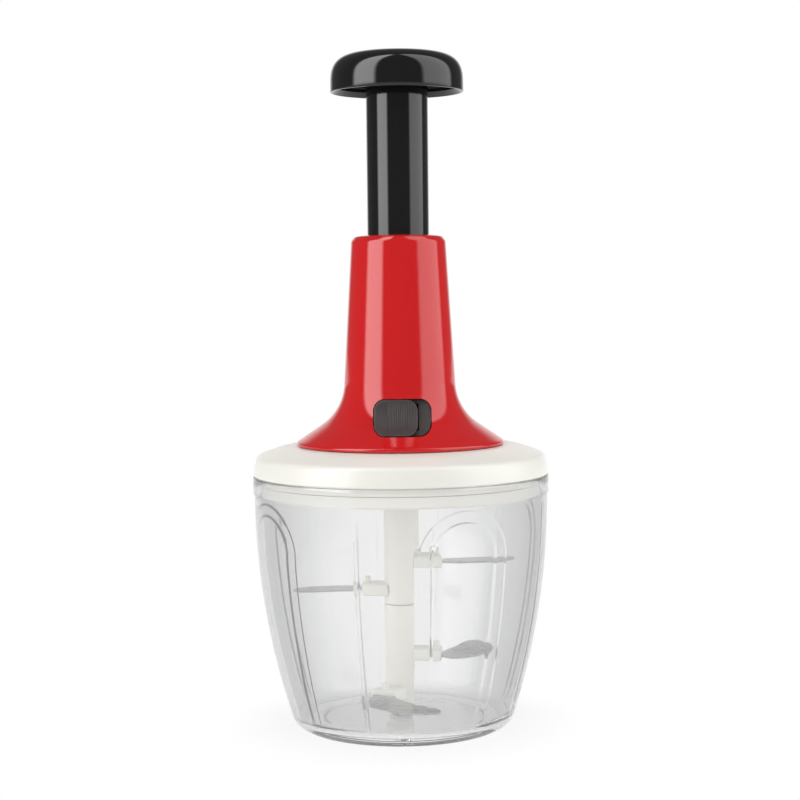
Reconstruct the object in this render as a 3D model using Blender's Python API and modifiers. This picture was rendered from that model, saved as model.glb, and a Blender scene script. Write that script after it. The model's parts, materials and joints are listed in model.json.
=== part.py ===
"""Hand-press vegetable chopper, modelled as its separate pieces.

Metres, +Z up. The bowl stands on z = 0 and the press works along the Z axis.
The lock button is on the front, towards -Y.

A push on the knob drives a keyed nut down a twisted bar. The bar turns in a
bearing in the head and its hexagonal end turns the blade hub in the bowl.
"""
import math

import bmesh
import bpy
from mathutils import Matrix, Vector

# Fits shared by all pieces
SEAT_GAP = 0.0003
SLIDE_GAP = 0.0004
TWIST_GAP = 0.00045
CUT_OVERRUN = 0.002
MERGE_DISTANCE = 0.00001
ARC_SAG = 0.00045
FILLET_SIDE_SHARE = 0.49

# Bowl
BOWL_HEIGHT = 0.1112
BOWL_BODY_RADIUS = 0.0644
BOWL_FOOT_RADIUS = 0.0476
BOWL_DRAW_IN_POWER = 2.085
BOWL_WALL = 0.0026
BOWL_FLOOR = 0.0032
BOWL_FOOT_FILLET = 0.0080
BOWL_FLOOR_FILLET = 0.0070
BOWL_RIM_BAND_HEIGHT = 0.0074
BOWL_RIM_BAND_STEP = 0.0006
BOWL_RIM_FILLET = 0.0005
FOOT_RING_WIDTH = 0.0042
FOOT_RECESS_DEPTH = 0.0012
BOWL_SEGMENTS = 36
BOWL_WALL_STEPS = 4

# Raised panels and slim ribs on the inside of the bowl
PANEL_COUNT = 4
PANEL_FIRST_ANGLE = math.radians(-64.7)
PANEL_HALF_ANGLE = math.radians(19.2)
PANEL_DEPTH = 0.0022
PANEL_BORDER = 0.0056
PANEL_TOP_DROP = 0.0095
PANEL_ARCH_STEPS = 8
PANEL_SIDE_STEPS = 4
FLOW_RIB_FIRST_ANGLE = math.radians(-17.6)
FLOW_RIB_WIDTH = 0.0016
FLOW_RIB_DEPTH = 0.0011
FLOW_RIB_TOP_DROP = 0.0105
FLOW_RIB_STEPS = 6

# Pivot pin in the floor of the bowl
PIN_RADIUS = 0.0020
PIN_LENGTH = 0.0200
PIN_SOCKET_DEPTH = 0.0034
PIN_BOSS_RADIUS = 0.0042
PIN_BOSS_HEIGHT = 0.0015
PIN_CHAMFER = 0.0005

# Blade hub, in two mouldings that plug together
HUB_RADIUS = 0.0078
HUB_FOOT_RADIUS = 0.0064
HUB_FOOT_HEIGHT = 0.0022
HUB_JOINT_HEIGHT = 0.0476
HUB_TOP_DROP = 0.0014
HUB_SPIGOT_RADIUS = 0.0049
HUB_SPIGOT_LENGTH = 0.0080
HUB_PIN_BORE_DEPTH = 0.0180
HUB_EDGE_FILLET = 0.0006
HUB_SEGMENTS = 24
ARM_REACH = 0.0098
ARM_WIDTH = 0.0118
ARM_HEIGHT = 0.0052
ARM_BEVEL = 0.0009
PEG_WIDTH = 0.0026
PEG_HEIGHT = 0.0030
PEG_INSET = 0.0012

# Blades. Arm angles run from +X, and the sweep, rise and pitch are those at the tip
BLADE_THICKNESS = 0.0010
BLADE_EDGE = 0.00015
BLADE_GRIND = 0.0032
BLADE_WIDTH = 0.0135
BLADE_TANG_WIDTH = 0.0088
BLADE_TIP_WIDTH = 0.0016
BLADE_ROOT_DEPTH = 0.0010
BLADE_SECTIONS = 14
BLADE_SHOULDER_SHARE = 0.16
FLAT_TIP_SHARE = 0.36
ROUND_TIP_SHARE = 0.24
POINTED_TIP_SHARE = 0.72
BLADE_1_Z = 0.0725
BLADE_1_ANGLE = math.radians(2)
BLADE_1_TIP = 0.0505
BLADE_2_Z = 0.0605
BLADE_2_ANGLE = math.radians(182)
BLADE_2_TIP = 0.0495
UPPER_SWEEP = math.radians(6)
BLADE_3_Z = 0.0315
BLADE_3_ANGLE = math.radians(-6)
BLADE_3_TIP = 0.0385
BLADE_3_SWEEP = math.radians(34)
BLADE_3_RISE = 0.0015
BLADE_3_PITCH = math.radians(13)
BLADE_4_Z = 0.0155
BLADE_4_ANGLE = math.radians(240)
BLADE_4_TIP = 0.0345
BLADE_4_SWEEP = math.radians(57)
BLADE_4_RISE = -0.0028
BLADE_4_PITCH = math.radians(20)

# Lid
LID_RISE = 0.0127
LID_WALL = 0.0024
LID_SHOULDER_DROP = 0.0043
LID_SHOULDER_INSET = 0.0016
LID_CROWN_MARGIN = 0.0056
LID_CROWN_FILLET = 0.0300
LID_SHOULDER_FILLET = 0.0045
LID_EDGE_FILLET = 0.0006
COLLAR_DROP = 0.0084
COLLAR_WALL = 0.0022
COLLAR_GAP = 0.0007
SEAL_HEIGHT = 0.0028
SEAL_GROOVE = 0.0012
SEAL_DROP = 0.0010
GUARD_WALL = 0.0022
LID_SEGMENTS = 36

# Handle housing
HOUSING_HEIGHT = 0.0915
HOUSING_BASE_RADIUS = 0.0454
HOUSING_EDGE_HEIGHT = 0.0014
HOUSING_WAIST_RADIUS = 0.0251
HOUSING_WAIST_HEIGHT = 0.0151
HOUSING_NECK_RADIUS = 0.0207
HOUSING_NECK_DROP = 0.0026
HOUSING_CROWN_RADIUS = 0.0192
HOUSING_CROWN_DROP = 0.0006
HOUSING_LIP_RADIUS = 0.0158
HOUSING_WALL = 0.0025
HOUSING_FLARE_FILLET = 0.0230
HOUSING_EDGE_FILLET = 0.0010
HOUSING_TOP_FILLET = 0.0016
HOUSING_SEGMENTS = 32
SCREW_CIRCLE_RADIUS = 0.0280
PILLAR_RADIUS = 0.0042
PILLAR_HEIGHT = 0.0140
SCREW_BITE = 0.0070
GUIDE_RIB_WIDTH = 0.0030
GUIDE_RIB_FOOT_HEIGHT = 0.0140

# Drive base, bearing and thrust parts
DRIVE_BASE_THICKNESS = 0.0030
DRIVE_BASE_MARGIN = 0.0010
DRIVE_HUB_RADIUS = 0.0130
DRIVE_HUB_HEIGHT = 0.0035
SPIGOT_RADIUS = 0.0118
SPIGOT_LENGTH = 0.0113
BUSH_BORE_RADIUS = 0.0053
BUSH_WALL = 0.0011
BUSH_FLANGE_RADIUS = 0.0079
BUSH_FLANGE_THICKNESS = 0.0010
THRUST_WASHER_THICKNESS = 0.0008
SPRING_SEAT_THICKNESS = 0.0010
SPRING_SEAT_RADIUS = 0.0120

# Twisted spindle and the dog that drives the hub
SPINDLE_WIDTH = 0.0078
SPINDLE_THICKNESS = 0.0028
SPINDLE_LEAD = 0.0360
SPINDLE_SECTION_PITCH = 0.0020
SPINDLE_STRIPS = 3
SPINDLE_TOP_MARGIN = 0.0015
TANG_WIDTH = 0.0050
TANG_LENGTH = 0.0078
DOG_FLANGE_THICKNESS = 0.0026
DOG_STEM_RADIUS = 0.0050
DOG_HEX_RADIUS = 0.0049
DOG_HEX_LENGTH = 0.0125
CLIP_THICKNESS = 0.0008
CLIP_RADIUS = 0.0076
CLIP_GROOVE = 0.0009
CLIP_OPENING_ANGLE = math.radians(70)
CROSS_PIN_RADIUS = 0.0006

# Return spring
SPRING_WIRE = 0.0012
SPRING_RADIUS = 0.0090
SPRING_CURLS = 9
SPRING_END_PITCH = 0.0018
SPRING_POINTS_PER_CURL = 10

# Plunger
TUBE_RADIUS = 0.0135
TUBE_WALL = 0.0022
TUBE_TOP_WALL = 0.0030
TUBE_SEGMENTS = 28
FLANGE_RADIUS = 0.0168
FLANGE_THICKNESS = 0.0040
GUIDE_BUSH_HEIGHT = 0.0088
KEY_WIDTH = 0.0024
KEY_HEIGHT = 0.0012
NUT_LIFT = 0.0060
NUT_HEIGHT = 0.0080
WEB_THICKNESS = 0.0026
WEB_BORE_RADIUS = 0.0053

# Knob
KNOB_RADIUS = 0.0290
KNOB_CLEARANCE = 0.0040
KNOB_HEIGHT = 0.0174
KNOB_CROWN_RADIUS = 0.0150
KNOB_CROWN_DROP = 0.0004
KNOB_SHOULDER_DROP = 0.0150
KNOB_SHOULDER_STEPS = 6
KNOB_WALL = 0.0026
KNOB_EDGE_FILLET = 0.0008
KNOB_BASE_LIFT = 0.0045
KNOB_BASE_THICKNESS = 0.0022
KNOB_BOSS_RADIUS = 0.0050
KNOB_SEGMENTS = 28
TUBE_ENTRY = 0.0092

# Lock button on the front of the housing
LOCK_HEIGHT = 0.0136
LOCK_CENTRE_X = 0.0009
LOCK_SLOT_WIDTH = 0.0250
LOCK_SLOT_HEIGHT = 0.0153
LOCK_CORNER = 0.0052
LOCK_TRAVEL = 0.0055
LOCK_FRAME_DROP = 0.0034
LOCK_FRAME_THICKNESS = 0.0015
LOCK_PAD_WIDTH = 0.0188
LOCK_PAD_THICKNESS = 0.0034
LOCK_NECK_WIDTH = 0.0040
LOCK_NECK_HEIGHT = 0.0100
LOCK_GROOVE_PITCH = 0.00093
LOCK_GROOVE_WIDTH = 0.00045
LOCK_GROOVE_DEPTH = 0.0004
LOCK_GROOVE_SHIFT = 0.0014
LOCK_GROOVES = 11
LOCK_CORNER_STEPS = 3
LOCK_HOOK_RISE = 0.0077
LOCK_HOOK_THICKNESS = 0.0030
LOCK_LEG_WIDTH = 0.0014
LOCK_LEG_HEIGHT = 0.0040
LOCK_LUG = 0.0011

# Screws
HEAD_SCREW_COUNT = 4
SCREW_SHANK_RADIUS = 0.0015
SCREW_HEAD_RADIUS = 0.0028
SCREW_HEAD_HEIGHT = 0.0020
SCREW_HEAD_FILLET = 0.0008
SCREW_END_GAP = 0.0006
SMALL_SCREW_SHANK_RADIUS = 0.0008
SMALL_SCREW_HEAD_RADIUS = 0.0016
SMALL_SCREW_HEAD_HEIGHT = 0.0011
SMALL_SCREW_BITE = 0.0040
SMALL_SEGMENTS = 10
HEX_SIDES = 6

# Heights and radii that follow from the sizes above
BAND_Z = BOWL_HEIGHT - BOWL_RIM_BAND_HEIGHT
RIM_RADIUS = BOWL_BODY_RADIUS + BOWL_RIM_BAND_STEP
FLOOR_Z = FOOT_RECESS_DEPTH + BOWL_FLOOR
PIN_BOSS_Z = FLOOR_Z + PIN_BOSS_HEIGHT
PIN_BOTTOM_Z = PIN_BOSS_Z - PIN_SOCKET_DEPTH + SEAT_GAP
HUB_BOTTOM_Z = PIN_BOSS_Z + SEAT_GAP
HUB_JOINT_Z = HUB_BOTTOM_Z + HUB_JOINT_HEIGHT

LID_Z = BOWL_HEIGHT + SEAT_GAP
CROWN_Z = LID_Z + LID_RISE
CROWN_UNDERSIDE_Z = CROWN_Z - LID_WALL
COLLAR_Z = LID_Z - COLLAR_DROP - SEAT_GAP
COLLAR_RADIUS = BOWL_BODY_RADIUS - BOWL_WALL - COLLAR_GAP
HEAD_Z = CROWN_Z + SEAT_GAP

HOUSING_TOP_Z = HEAD_Z + HOUSING_HEIGHT
BUSH_TOP_Z = HOUSING_TOP_Z - HOUSING_WALL - HOUSING_CROWN_DROP - SEAT_GAP
BUSH_BOTTOM_Z = BUSH_TOP_Z - GUIDE_BUSH_HEIGHT
FLANGE_TOP_Z = BUSH_BOTTOM_Z - SEAT_GAP
LOCK_Z = HEAD_Z + LOCK_HEIGHT
LOCK_HOOK_Z = LOCK_Z + LOCK_HOOK_RISE
PRESS_STROKE = FLANGE_TOP_Z - LOCK_HOOK_Z + SEAT_GAP
TUBE_BOTTOM_Z = FLANGE_TOP_Z - FLANGE_THICKNESS
NUT_BOTTOM_Z = TUBE_BOTTOM_Z + NUT_LIFT
NUT_TOP_Z = NUT_BOTTOM_Z + NUT_HEIGHT
WEB_Z = NUT_TOP_Z + SEAT_GAP
WEB_TOP_Z = WEB_Z + WEB_THICKNESS
TUBE_BORE = TUBE_RADIUS - TUBE_WALL
KNOB_Z = HOUSING_TOP_Z + PRESS_STROKE + KNOB_CLEARANCE
TUBE_TOP_Z = KNOB_Z + TUBE_ENTRY
KNOB_TOP_Z = KNOB_Z + KNOB_HEIGHT

DRIVE_BASE_TOP_Z = HEAD_Z + DRIVE_BASE_THICKNESS
DRIVE_BASE_RADIUS = SCREW_CIRCLE_RADIUS + PILLAR_RADIUS + DRIVE_BASE_MARGIN
DRIVE_HUB_Z = DRIVE_BASE_TOP_Z + DRIVE_HUB_HEIGHT
SPIGOT_Z = HEAD_Z - SPIGOT_LENGTH
GUARD_RADIUS = SPIGOT_RADIUS + SEAT_GAP
GUARD_Z = SPIGOT_Z - CLIP_THICKNESS - DOG_STEM_RADIUS - SEAT_GAP
HUB_TOP_Z = GUARD_Z - HUB_TOP_DROP
BUSH_FLANGE_Z = DRIVE_HUB_Z + SEAT_GAP
BUSH_FLANGE_TOP_Z = BUSH_FLANGE_Z + BUSH_FLANGE_THICKNESS
THRUST_Z = BUSH_FLANGE_TOP_Z + SEAT_GAP
THRUST_TOP_Z = THRUST_Z + THRUST_WASHER_THICKNESS
DOG_FLANGE_Z = THRUST_TOP_Z + SEAT_GAP
DOG_TOP_Z = DOG_FLANGE_Z + DOG_FLANGE_THICKNESS
CLIP_TOP_Z = SPIGOT_Z - SEAT_GAP
CLIP_Z = CLIP_TOP_Z - CLIP_THICKNESS
HEX_BOTTOM_Z = HUB_TOP_Z - DOG_HEX_LENGTH
SPRING_SEAT_TOP_Z = DRIVE_HUB_Z + SEAT_GAP + SPRING_SEAT_THICKNESS
SPINDLE_TOP_Z = WEB_TOP_Z + SPINDLE_TOP_MARGIN

parts = None
cutters = None
materials = {}


def clear_scene():
    """Remove the start-up objects and make the two collections."""
    global parts, cutters
    for item in list(bpy.data.objects):
        bpy.data.objects.remove(item, do_unlink=True)
    parts = bpy.data.collections.new("vegetable_chopper")
    cutters = bpy.data.collections.new("cutters")
    bpy.context.scene.collection.children.link(parts)
    bpy.context.scene.collection.children.link(cutters)


def make_material(name, colour, roughness, metallic=0.0, transmission=0.0):
    """Make one plain material for a kind of piece."""
    material = bpy.data.materials.new(name)
    material.use_nodes = True
    shader = material.node_tree.nodes["Principled BSDF"]
    shader.inputs["Base Color"].default_value = (*colour, 1.0)
    shader.inputs["Roughness"].default_value = roughness
    shader.inputs["Metallic"].default_value = metallic
    shader.inputs["Transmission Weight"].default_value = transmission
    materials[name] = material


def make_materials():
    """Make the finishes of all the pieces."""
    make_material("clear_plastic", (0.93, 0.95, 0.96), 0.05, transmission=0.9)
    make_material("cream_plastic", (0.87, 0.84, 0.76), 0.30)
    make_material("red_plastic", (0.62, 0.015, 0.018), 0.18)
    make_material("black_plastic", (0.012, 0.012, 0.014), 0.12)
    make_material("grey_plastic", (0.055, 0.05, 0.05), 0.45)
    make_material("white_nylon", (0.80, 0.80, 0.78), 0.40)
    make_material("blade_steel", (0.62, 0.62, 0.64), 0.25, metallic=1.0)
    make_material("plated_steel", (0.55, 0.55, 0.57), 0.30, metallic=1.0)
    make_material("spring_steel", (0.42, 0.42, 0.44), 0.35, metallic=1.0)
    make_material("bearing_brass", (0.72, 0.50, 0.20), 0.30, metallic=1.0)
    make_material("soft_silicone", (0.85, 0.84, 0.80), 0.60)


def add_object(name, mesh, collection=None):
    """Put a mesh into the scene as a new object."""
    item = bpy.data.objects.new(name, mesh)
    (collection or cutters).objects.link(item)
    return item


def as_part(item, name, material):
    """Make an object one of the chopper's pieces, with its name and finish."""
    item.name = name
    item.data.name = name
    for collection in list(item.users_collection):
        collection.objects.unlink(item)
    parts.objects.link(item)
    item.data.materials.clear()
    item.data.materials.append(materials[material])
    return item


def as_cutter(item):
    """Keep an object only as a cutting or joining shape."""
    for collection in list(item.users_collection):
        collection.objects.unlink(item)
    cutters.objects.link(item)
    item.display_type = 'WIRE'
    item.hide_render = True
    return item


def combine(item, other, operation):
    """Add one Boolean step between an object and a shape."""
    as_cutter(other)
    step = item.modifiers.new(operation.lower(), 'BOOLEAN')
    step.operation = operation
    step.solver = 'EXACT'
    step.object = other
    return item


def cut(item, other):
    """Take a shape away from an object."""
    return combine(item, other, 'DIFFERENCE')


def join(item, other):
    """Fuse a shape to an object."""
    return combine(item, other, 'UNION')


def keep_inside(item, other):
    """Keep only what an object shares with a shape."""
    return combine(item, other, 'INTERSECT')


def freeze(item):
    """Apply an object's modifiers and place, and weld its mesh."""
    graph = bpy.context.evaluated_depsgraph_get()
    graph.update()
    mesh = bpy.data.meshes.new_from_object(item.evaluated_get(graph))
    mesh.transform(item.matrix_world)
    shape = bmesh.new()
    shape.from_mesh(mesh)
    bmesh.ops.remove_doubles(shape, verts=shape.verts, dist=MERGE_DISTANCE)
    shape.to_mesh(mesh)
    shape.free()
    name = item.name
    bpy.data.objects.remove(item, do_unlink=True)
    return add_object(name, mesh)


def moved(item, matrix):
    """Move an object on from where it is, and keep the move in its mesh."""
    bpy.context.view_layer.update()
    item.data.transform(matrix @ item.matrix_world)
    item.matrix_world = Matrix.Identity(4)
    return item


def group(name, items):
    """Put separate shapes that don't touch into one mesh."""
    bpy.context.view_layer.update()
    shape = bmesh.new()
    for item in items:
        mesh = item.data.copy()
        mesh.transform(item.matrix_world)
        shape.from_mesh(mesh)
        bpy.data.objects.remove(item, do_unlink=True)
    mesh = bpy.data.meshes.new(name)
    shape.to_mesh(mesh)
    shape.free()
    return add_object(name, mesh)


def rounded(corners):
    """Turn (r, z, fillet) corners into points, with each fillet as an arc."""
    points = []
    for index, (radius, height, fillet) in enumerate(corners):
        here = Vector((radius, height))
        if fillet == 0:
            points.append(here)
            continue
        before = Vector(corners[index - 1][:2]) - here
        after = Vector(corners[(index + 1) % len(corners)][:2]) - here
        half = before.angle(after) / 2
        longest = FILLET_SIDE_SHARE * min(before.length, after.length)
        reach = min(fillet / math.tan(half), longest)
        to_centre = before.normalized() + after.normalized()
        centre = here + to_centre.normalized() * reach / math.cos(half)
        start = here + before.normalized() * reach - centre
        stop = here + after.normalized() * reach - centre
        sweep = start.angle_signed(stop)
        arc_step = math.acos(max(0, 1 - ARC_SAG / fillet)) * 2
        steps = math.ceil(abs(sweep) / arc_step)
        for step in range(steps + 1):
            turn = Matrix.Rotation(-sweep * step / steps, 2)
            points.append(centre + turn @ start)
    return points


def inset(corners, wall):
    """Move an outline of (r, z, fillet) corners inwards by a wall, square to its sides."""
    moved = []
    places = [Vector(corner[:2]) for corner in corners]
    for index, corner in enumerate(corners):
        sides = []
        if index > 0:
            sides.append(places[index] - places[index - 1])
        if index < len(corners) - 1:
            sides.append(places[index + 1] - places[index])
        normals = [Vector((side.y, -side.x)).normalized() for side in sides]
        middle = sum(normals, Vector((0, 0))).normalized()
        shift = middle * wall / middle.dot(normals[0])
        turn = 0
        if len(sides) == 2:
            turn = sides[0].x * sides[1].y - sides[0].y * sides[1].x
        fillet = corner[2]
        if fillet > 0:
            fillet = fillet + wall if turn > 0 else max(fillet - wall, 0)
        place = places[index] + shift
        moved.append((place.x, place.y, fillet))
    return moved


def radius_at(points, height):
    """Read the outermost radius of an outline at a height."""
    found = []
    for first, second in zip(points, points[1:]):
        low, high = sorted((first[1], second[1]))
        if low <= height <= high and high > low:
            share = (height - first[1]) / (second[1] - first[1])
            found.append(first[0] + (second[0] - first[0]) * share)
    return max(found)


def turned(name, points, segments, ring=True):
    """Turn an outline about the Z axis. It runs down its outer side."""
    mesh = bpy.data.meshes.new(name)
    vertices = [(radius, 0, height) for radius, height in points]
    edges = [(index, index + 1) for index in range(len(points) - 1)]
    if ring:
        edges.append((len(points) - 1, 0))
    mesh.from_pydata(vertices, edges, [])
    item = add_object(name, mesh)
    screw = item.modifiers.new("turn", 'SCREW')
    screw.axis = 'Z'
    screw.angle = math.tau
    screw.steps = segments
    screw.render_steps = segments
    screw.use_smooth_shade = True
    screw.use_merge_vertices = True
    screw.merge_threshold = MERGE_DISTANCE
    return item


def tube_points(outer, inner, bottom, top):
    """Outline of a plain ring: down the outer side and up the inner side."""
    return [(outer, top), (outer, bottom), (inner, bottom), (inner, top)]


def cylinder(name, radius, bottom, top, x=0, y=0, segments=SMALL_SEGMENTS):
    """Make an upright cylinder or prism."""
    place = (x, y, (bottom + top) / 2)
    start = (0, 0, math.pi / HUB_SEGMENTS)
    bpy.ops.mesh.primitive_cylinder_add(
        vertices=segments, radius=radius, depth=top - bottom, location=place, rotation=start)
    item = bpy.context.active_object
    item.name = name
    return as_cutter(item)


def box(name, low, high):
    """Make a box between two corners."""
    size = Vector(high) - Vector(low)
    middle = (Vector(high) + Vector(low)) / 2
    bpy.ops.mesh.primitive_cube_add(size=1, location=middle)
    item = bpy.context.active_object
    item.name = name
    item.data.transform(Matrix.Diagonal((*size, 1)))
    return as_cutter(item)


def plate(name, points, thickness, matrix):
    """Make a flat plate from an outline, centred on its own plane."""
    curve = bpy.data.curves.new(name, 'CURVE')
    curve.dimensions = '2D'
    curve.fill_mode = 'BOTH'
    curve.extrude = thickness / 2
    spline = curve.splines.new('POLY')
    spline.points.add(len(points) - 1)
    for point, (x, y) in zip(spline.points, points):
        point.co = (x, y, 0, 1)
    spline.use_cyclic_u = True
    item = add_object(name, curve)
    item.matrix_world = matrix
    bpy.context.view_layer.update()
    return freeze(item)


def loft(name, rings, tips=None):
    """Skin a row of closed rings. The ends are flat, or run to a tip."""
    shape = bmesh.new()
    rows = [[shape.verts.new(point) for point in ring] for ring in rings]
    for lower, upper in zip(rows, rows[1:]):
        for index in range(len(lower)):
            following = (index + 1) % len(lower)
            shape.faces.new((lower[index], lower[following], upper[following], upper[index]))
    if tips is None:
        shape.faces.new(list(reversed(rows[0])))
        shape.faces.new(rows[-1])
    else:
        for row, tip in zip((rows[0], rows[-1]), tips):
            end = shape.verts.new(tip)
            for index in range(len(row)):
                shape.faces.new((row[index], row[(index + 1) % len(row)], end))
    bmesh.ops.recalc_face_normals(shape, faces=shape.faces)
    mesh = bpy.data.meshes.new(name)
    shape.to_mesh(mesh)
    shape.free()
    return add_object(name, mesh)


def turn_about_z(angle):
    """Rotation about the press axis, where zero points to the front."""
    return Matrix.Rotation(angle, 4, 'Z')


def bevel(item, width, segments=2):
    """Round the sharp edges of an object."""
    step = item.modifiers.new("edges", 'BEVEL')
    step.width = width
    step.segments = segments
    step.limit_method = 'ANGLE'
    return item


def bowl_radius(height):
    """Outer radius of the bowl's wall, which draws in towards the foot."""
    drop = max(0, (BAND_Z - height) / BAND_Z)
    return BOWL_BODY_RADIUS - (BOWL_BODY_RADIUS - BOWL_FOOT_RADIUS) * drop ** BOWL_DRAW_IN_POWER


def bowl_inner_radius(height):
    """Radius of the inside of the bowl's wall, between the panels."""
    return bowl_radius(height) - BOWL_WALL


def spread(first, last, steps):
    """Evenly spaced values from the first to the last."""
    return [first + (last - first) * step / steps for step in range(steps + 1)]


def bowl_outline():
    """Section of the bowl, from the pin socket out, up, over the rim and down."""
    socket_radius = PIN_RADIUS + SEAT_GAP
    socket_z = PIN_BOSS_Z - PIN_SOCKET_DEPTH
    inside_foot = FLOOR_Z + BOWL_FLOOR_FILLET * 2
    outside_foot = BOWL_FOOT_FILLET * 2
    ring_outer = BOWL_FOOT_RADIUS - BOWL_FOOT_FILLET
    corners = [(0, socket_z, 0), (socket_radius, socket_z, 0)]
    corners += [(socket_radius, PIN_BOSS_Z, 0), (PIN_BOSS_RADIUS, PIN_BOSS_Z, 0)]
    corners += [(PIN_BOSS_RADIUS + PIN_BOSS_HEIGHT, FLOOR_Z, 0)]
    corners += [(bowl_inner_radius(FLOOR_Z), FLOOR_Z, BOWL_FLOOR_FILLET)]
    corners += [(bowl_inner_radius(z), z, 0) for z in spread(inside_foot, BAND_Z, BOWL_WALL_STEPS)]
    corners += [(bowl_inner_radius(BAND_Z), BOWL_HEIGHT, BOWL_RIM_FILLET)]
    corners += [(RIM_RADIUS, BOWL_HEIGHT, BOWL_RIM_FILLET), (RIM_RADIUS, BAND_Z, 0)]
    corners += [(BOWL_BODY_RADIUS, BAND_Z - BOWL_RIM_BAND_STEP, 0)]
    wall = spread(BAND_Z - BOWL_RIM_BAND_STEP, outside_foot, BOWL_WALL_STEPS)
    corners += [(bowl_radius(z), z, 0) for z in wall[1:]]
    corners += [(bowl_radius(0), 0, BOWL_FOOT_FILLET)]
    corners += [(ring_outer - FOOT_RING_WIDTH, 0, 0)]
    corners += [(ring_outer - FOOT_RING_WIDTH - FOOT_RECESS_DEPTH, FOOT_RECESS_DEPTH, 0)]
    corners += [(0, FOOT_RECESS_DEPTH, 0)]
    return rounded(corners)


def panel_edge(shrink, depth):
    """Edge of one raised panel on the wall, as an arch, drawn in by an amount."""
    top = BAND_Z - (PANEL_TOP_DROP - BOWL_RIM_BAND_HEIGHT) - shrink
    half_width = bowl_inner_radius(top) * math.sin(PANEL_HALF_ANGLE) - shrink
    spring = top - half_width
    foot = FLOOR_Z - BOWL_FLOOR / 2
    points = []
    for height in spread(foot, spring, PANEL_SIDE_STEPS)[:-1]:
        side = bowl_inner_radius(height) * math.sin(PANEL_HALF_ANGLE) - shrink
        points.append((side, height))
    for angle in spread(0, math.pi, PANEL_ARCH_STEPS):
        points.append((half_width * math.cos(angle), spring + half_width * math.sin(angle)))
    for height in spread(spring, foot, PANEL_SIDE_STEPS)[1:]:
        side = bowl_inner_radius(height) * math.sin(PANEL_HALF_ANGLE) - shrink
        points.append((-side, height))
    placed = []
    for across, height in points:
        radius = bowl_inner_radius(height) - depth
        away = math.sqrt(radius ** 2 - across ** 2)
        placed.append(Vector((across, -away, height)))
    return placed


def make_panels():
    """The four arched panels that stand inwards from the bowl's wall."""
    embed = BOWL_WALL / 2
    low = FLOOR_Z - BOWL_FLOOR / 2
    high = BAND_Z
    heights = spread(high, low, BOWL_WALL_STEPS)
    outer = [(bowl_inner_radius(z) + embed, z) for z in heights]
    inner = [(bowl_inner_radius(z) - PANEL_DEPTH, z) for z in reversed(heights)]
    band = turned("panel_band", outer + inner, BOWL_SEGMENTS)
    band.matrix_world = turn_about_z(math.pi / BOWL_SEGMENTS)
    slope = PANEL_BORDER / PANEL_DEPTH
    beyond = embed + CUT_OVERRUN
    within = PANEL_DEPTH + CUT_OVERRUN
    rings = [panel_edge(-slope * beyond, -beyond), panel_edge(slope * within, within)]
    middle_z = (high + low) / 2
    outside_tip = Vector((0, -BOWL_BODY_RADIUS * 2, middle_z))
    inside_tip = Vector((0, 0, middle_z))
    wedges = []
    for index in range(PANEL_COUNT):
        wedge = loft("panel_wedge", rings, (outside_tip, inside_tip))
        wedge.matrix_world = turn_about_z(PANEL_FIRST_ANGLE + math.tau * index / PANEL_COUNT)
        wedges.append(wedge)
    keep_inside(band, group("panel_wedges", wedges))
    return band


def make_flow_ribs():
    """Slim upright ribs between the panels, fading out towards the top."""
    top = BOWL_HEIGHT - FLOW_RIB_TOP_DROP
    foot = FLOOR_Z - BOWL_FLOOR / 2
    heights = spread(foot, top, FLOW_RIB_STEPS)
    back = [(bowl_inner_radius(z) + BOWL_WALL / 2, z) for z in heights]
    face = [(bowl_inner_radius(z) - FLOW_RIB_DEPTH, z) for z in reversed(heights[:-1])]
    ribs = []
    for index in range(PANEL_COUNT):
        angle = FLOW_RIB_FIRST_ANGLE + math.tau * index / PANEL_COUNT
        upright = Matrix.Rotation(math.pi / 2, 4, 'X')
        to_front = Matrix.Rotation(-math.pi / 2, 4, 'Z')
        place = turn_about_z(angle) @ to_front @ upright
        ribs.append(plate("flow_rib", back + face, FLOW_RIB_WIDTH, place))
    return group("flow_ribs", ribs)


def make_bowl():
    """Clear bowl with its panels, and the steel pin that the hub turns on."""
    bowl = turned("bowl", bowl_outline(), BOWL_SEGMENTS, ring=False)
    as_part(bowl, "bowl", "clear_plastic")
    join(bowl, make_panels())
    join(bowl, make_flow_ribs())
    top = PIN_BOTTOM_Z + PIN_LENGTH
    points = rounded([(0, top, 0), (PIN_RADIUS, top, PIN_CHAMFER), (PIN_RADIUS, PIN_BOTTOM_Z, 0),
                      (0, PIN_BOTTOM_Z, 0)])
    as_part(turned("pin", points, SMALL_SEGMENTS, ring=False), "pivot_pin", "plated_steel")


def arm_blank(height, angle):
    """Radial arm of the hub with the peg that stands at its end."""
    reach = HUB_RADIUS + ARM_REACH
    half = ARM_WIDTH / 2
    arm = box("arm", (0, -half, height - ARM_HEIGHT / 2),
              (reach, half, height + ARM_HEIGHT / 2))
    bevel(arm, ARM_BEVEL)
    arm = freeze(arm)
    peg_outer = reach - PEG_INSET
    top = height + ARM_HEIGHT / 2 + PEG_HEIGHT
    peg = box("peg", (peg_outer - PEG_WIDTH, -PEG_WIDTH / 2, height),
              (peg_outer, PEG_WIDTH / 2, top))
    bevel(peg, ARM_BEVEL / 2, segments=1)
    join(arm, freeze(peg))
    return moved(freeze(arm), turn_about_z(angle))


def tang_slot(height, angle):
    """Slot in a hub arm that grips the blade's tang."""
    start = HUB_RADIUS + BLADE_ROOT_DEPTH - SEAT_GAP
    end = HUB_RADIUS + ARM_REACH + CUT_OVERRUN
    half_width = BLADE_TANG_WIDTH / 2 + SEAT_GAP
    half_height = BLADE_THICKNESS / 2 + SEAT_GAP
    slot = box("slot", (start, -half_width, height - half_height),
               (end, half_width, height + half_height))
    return moved(slot, turn_about_z(angle))


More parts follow.
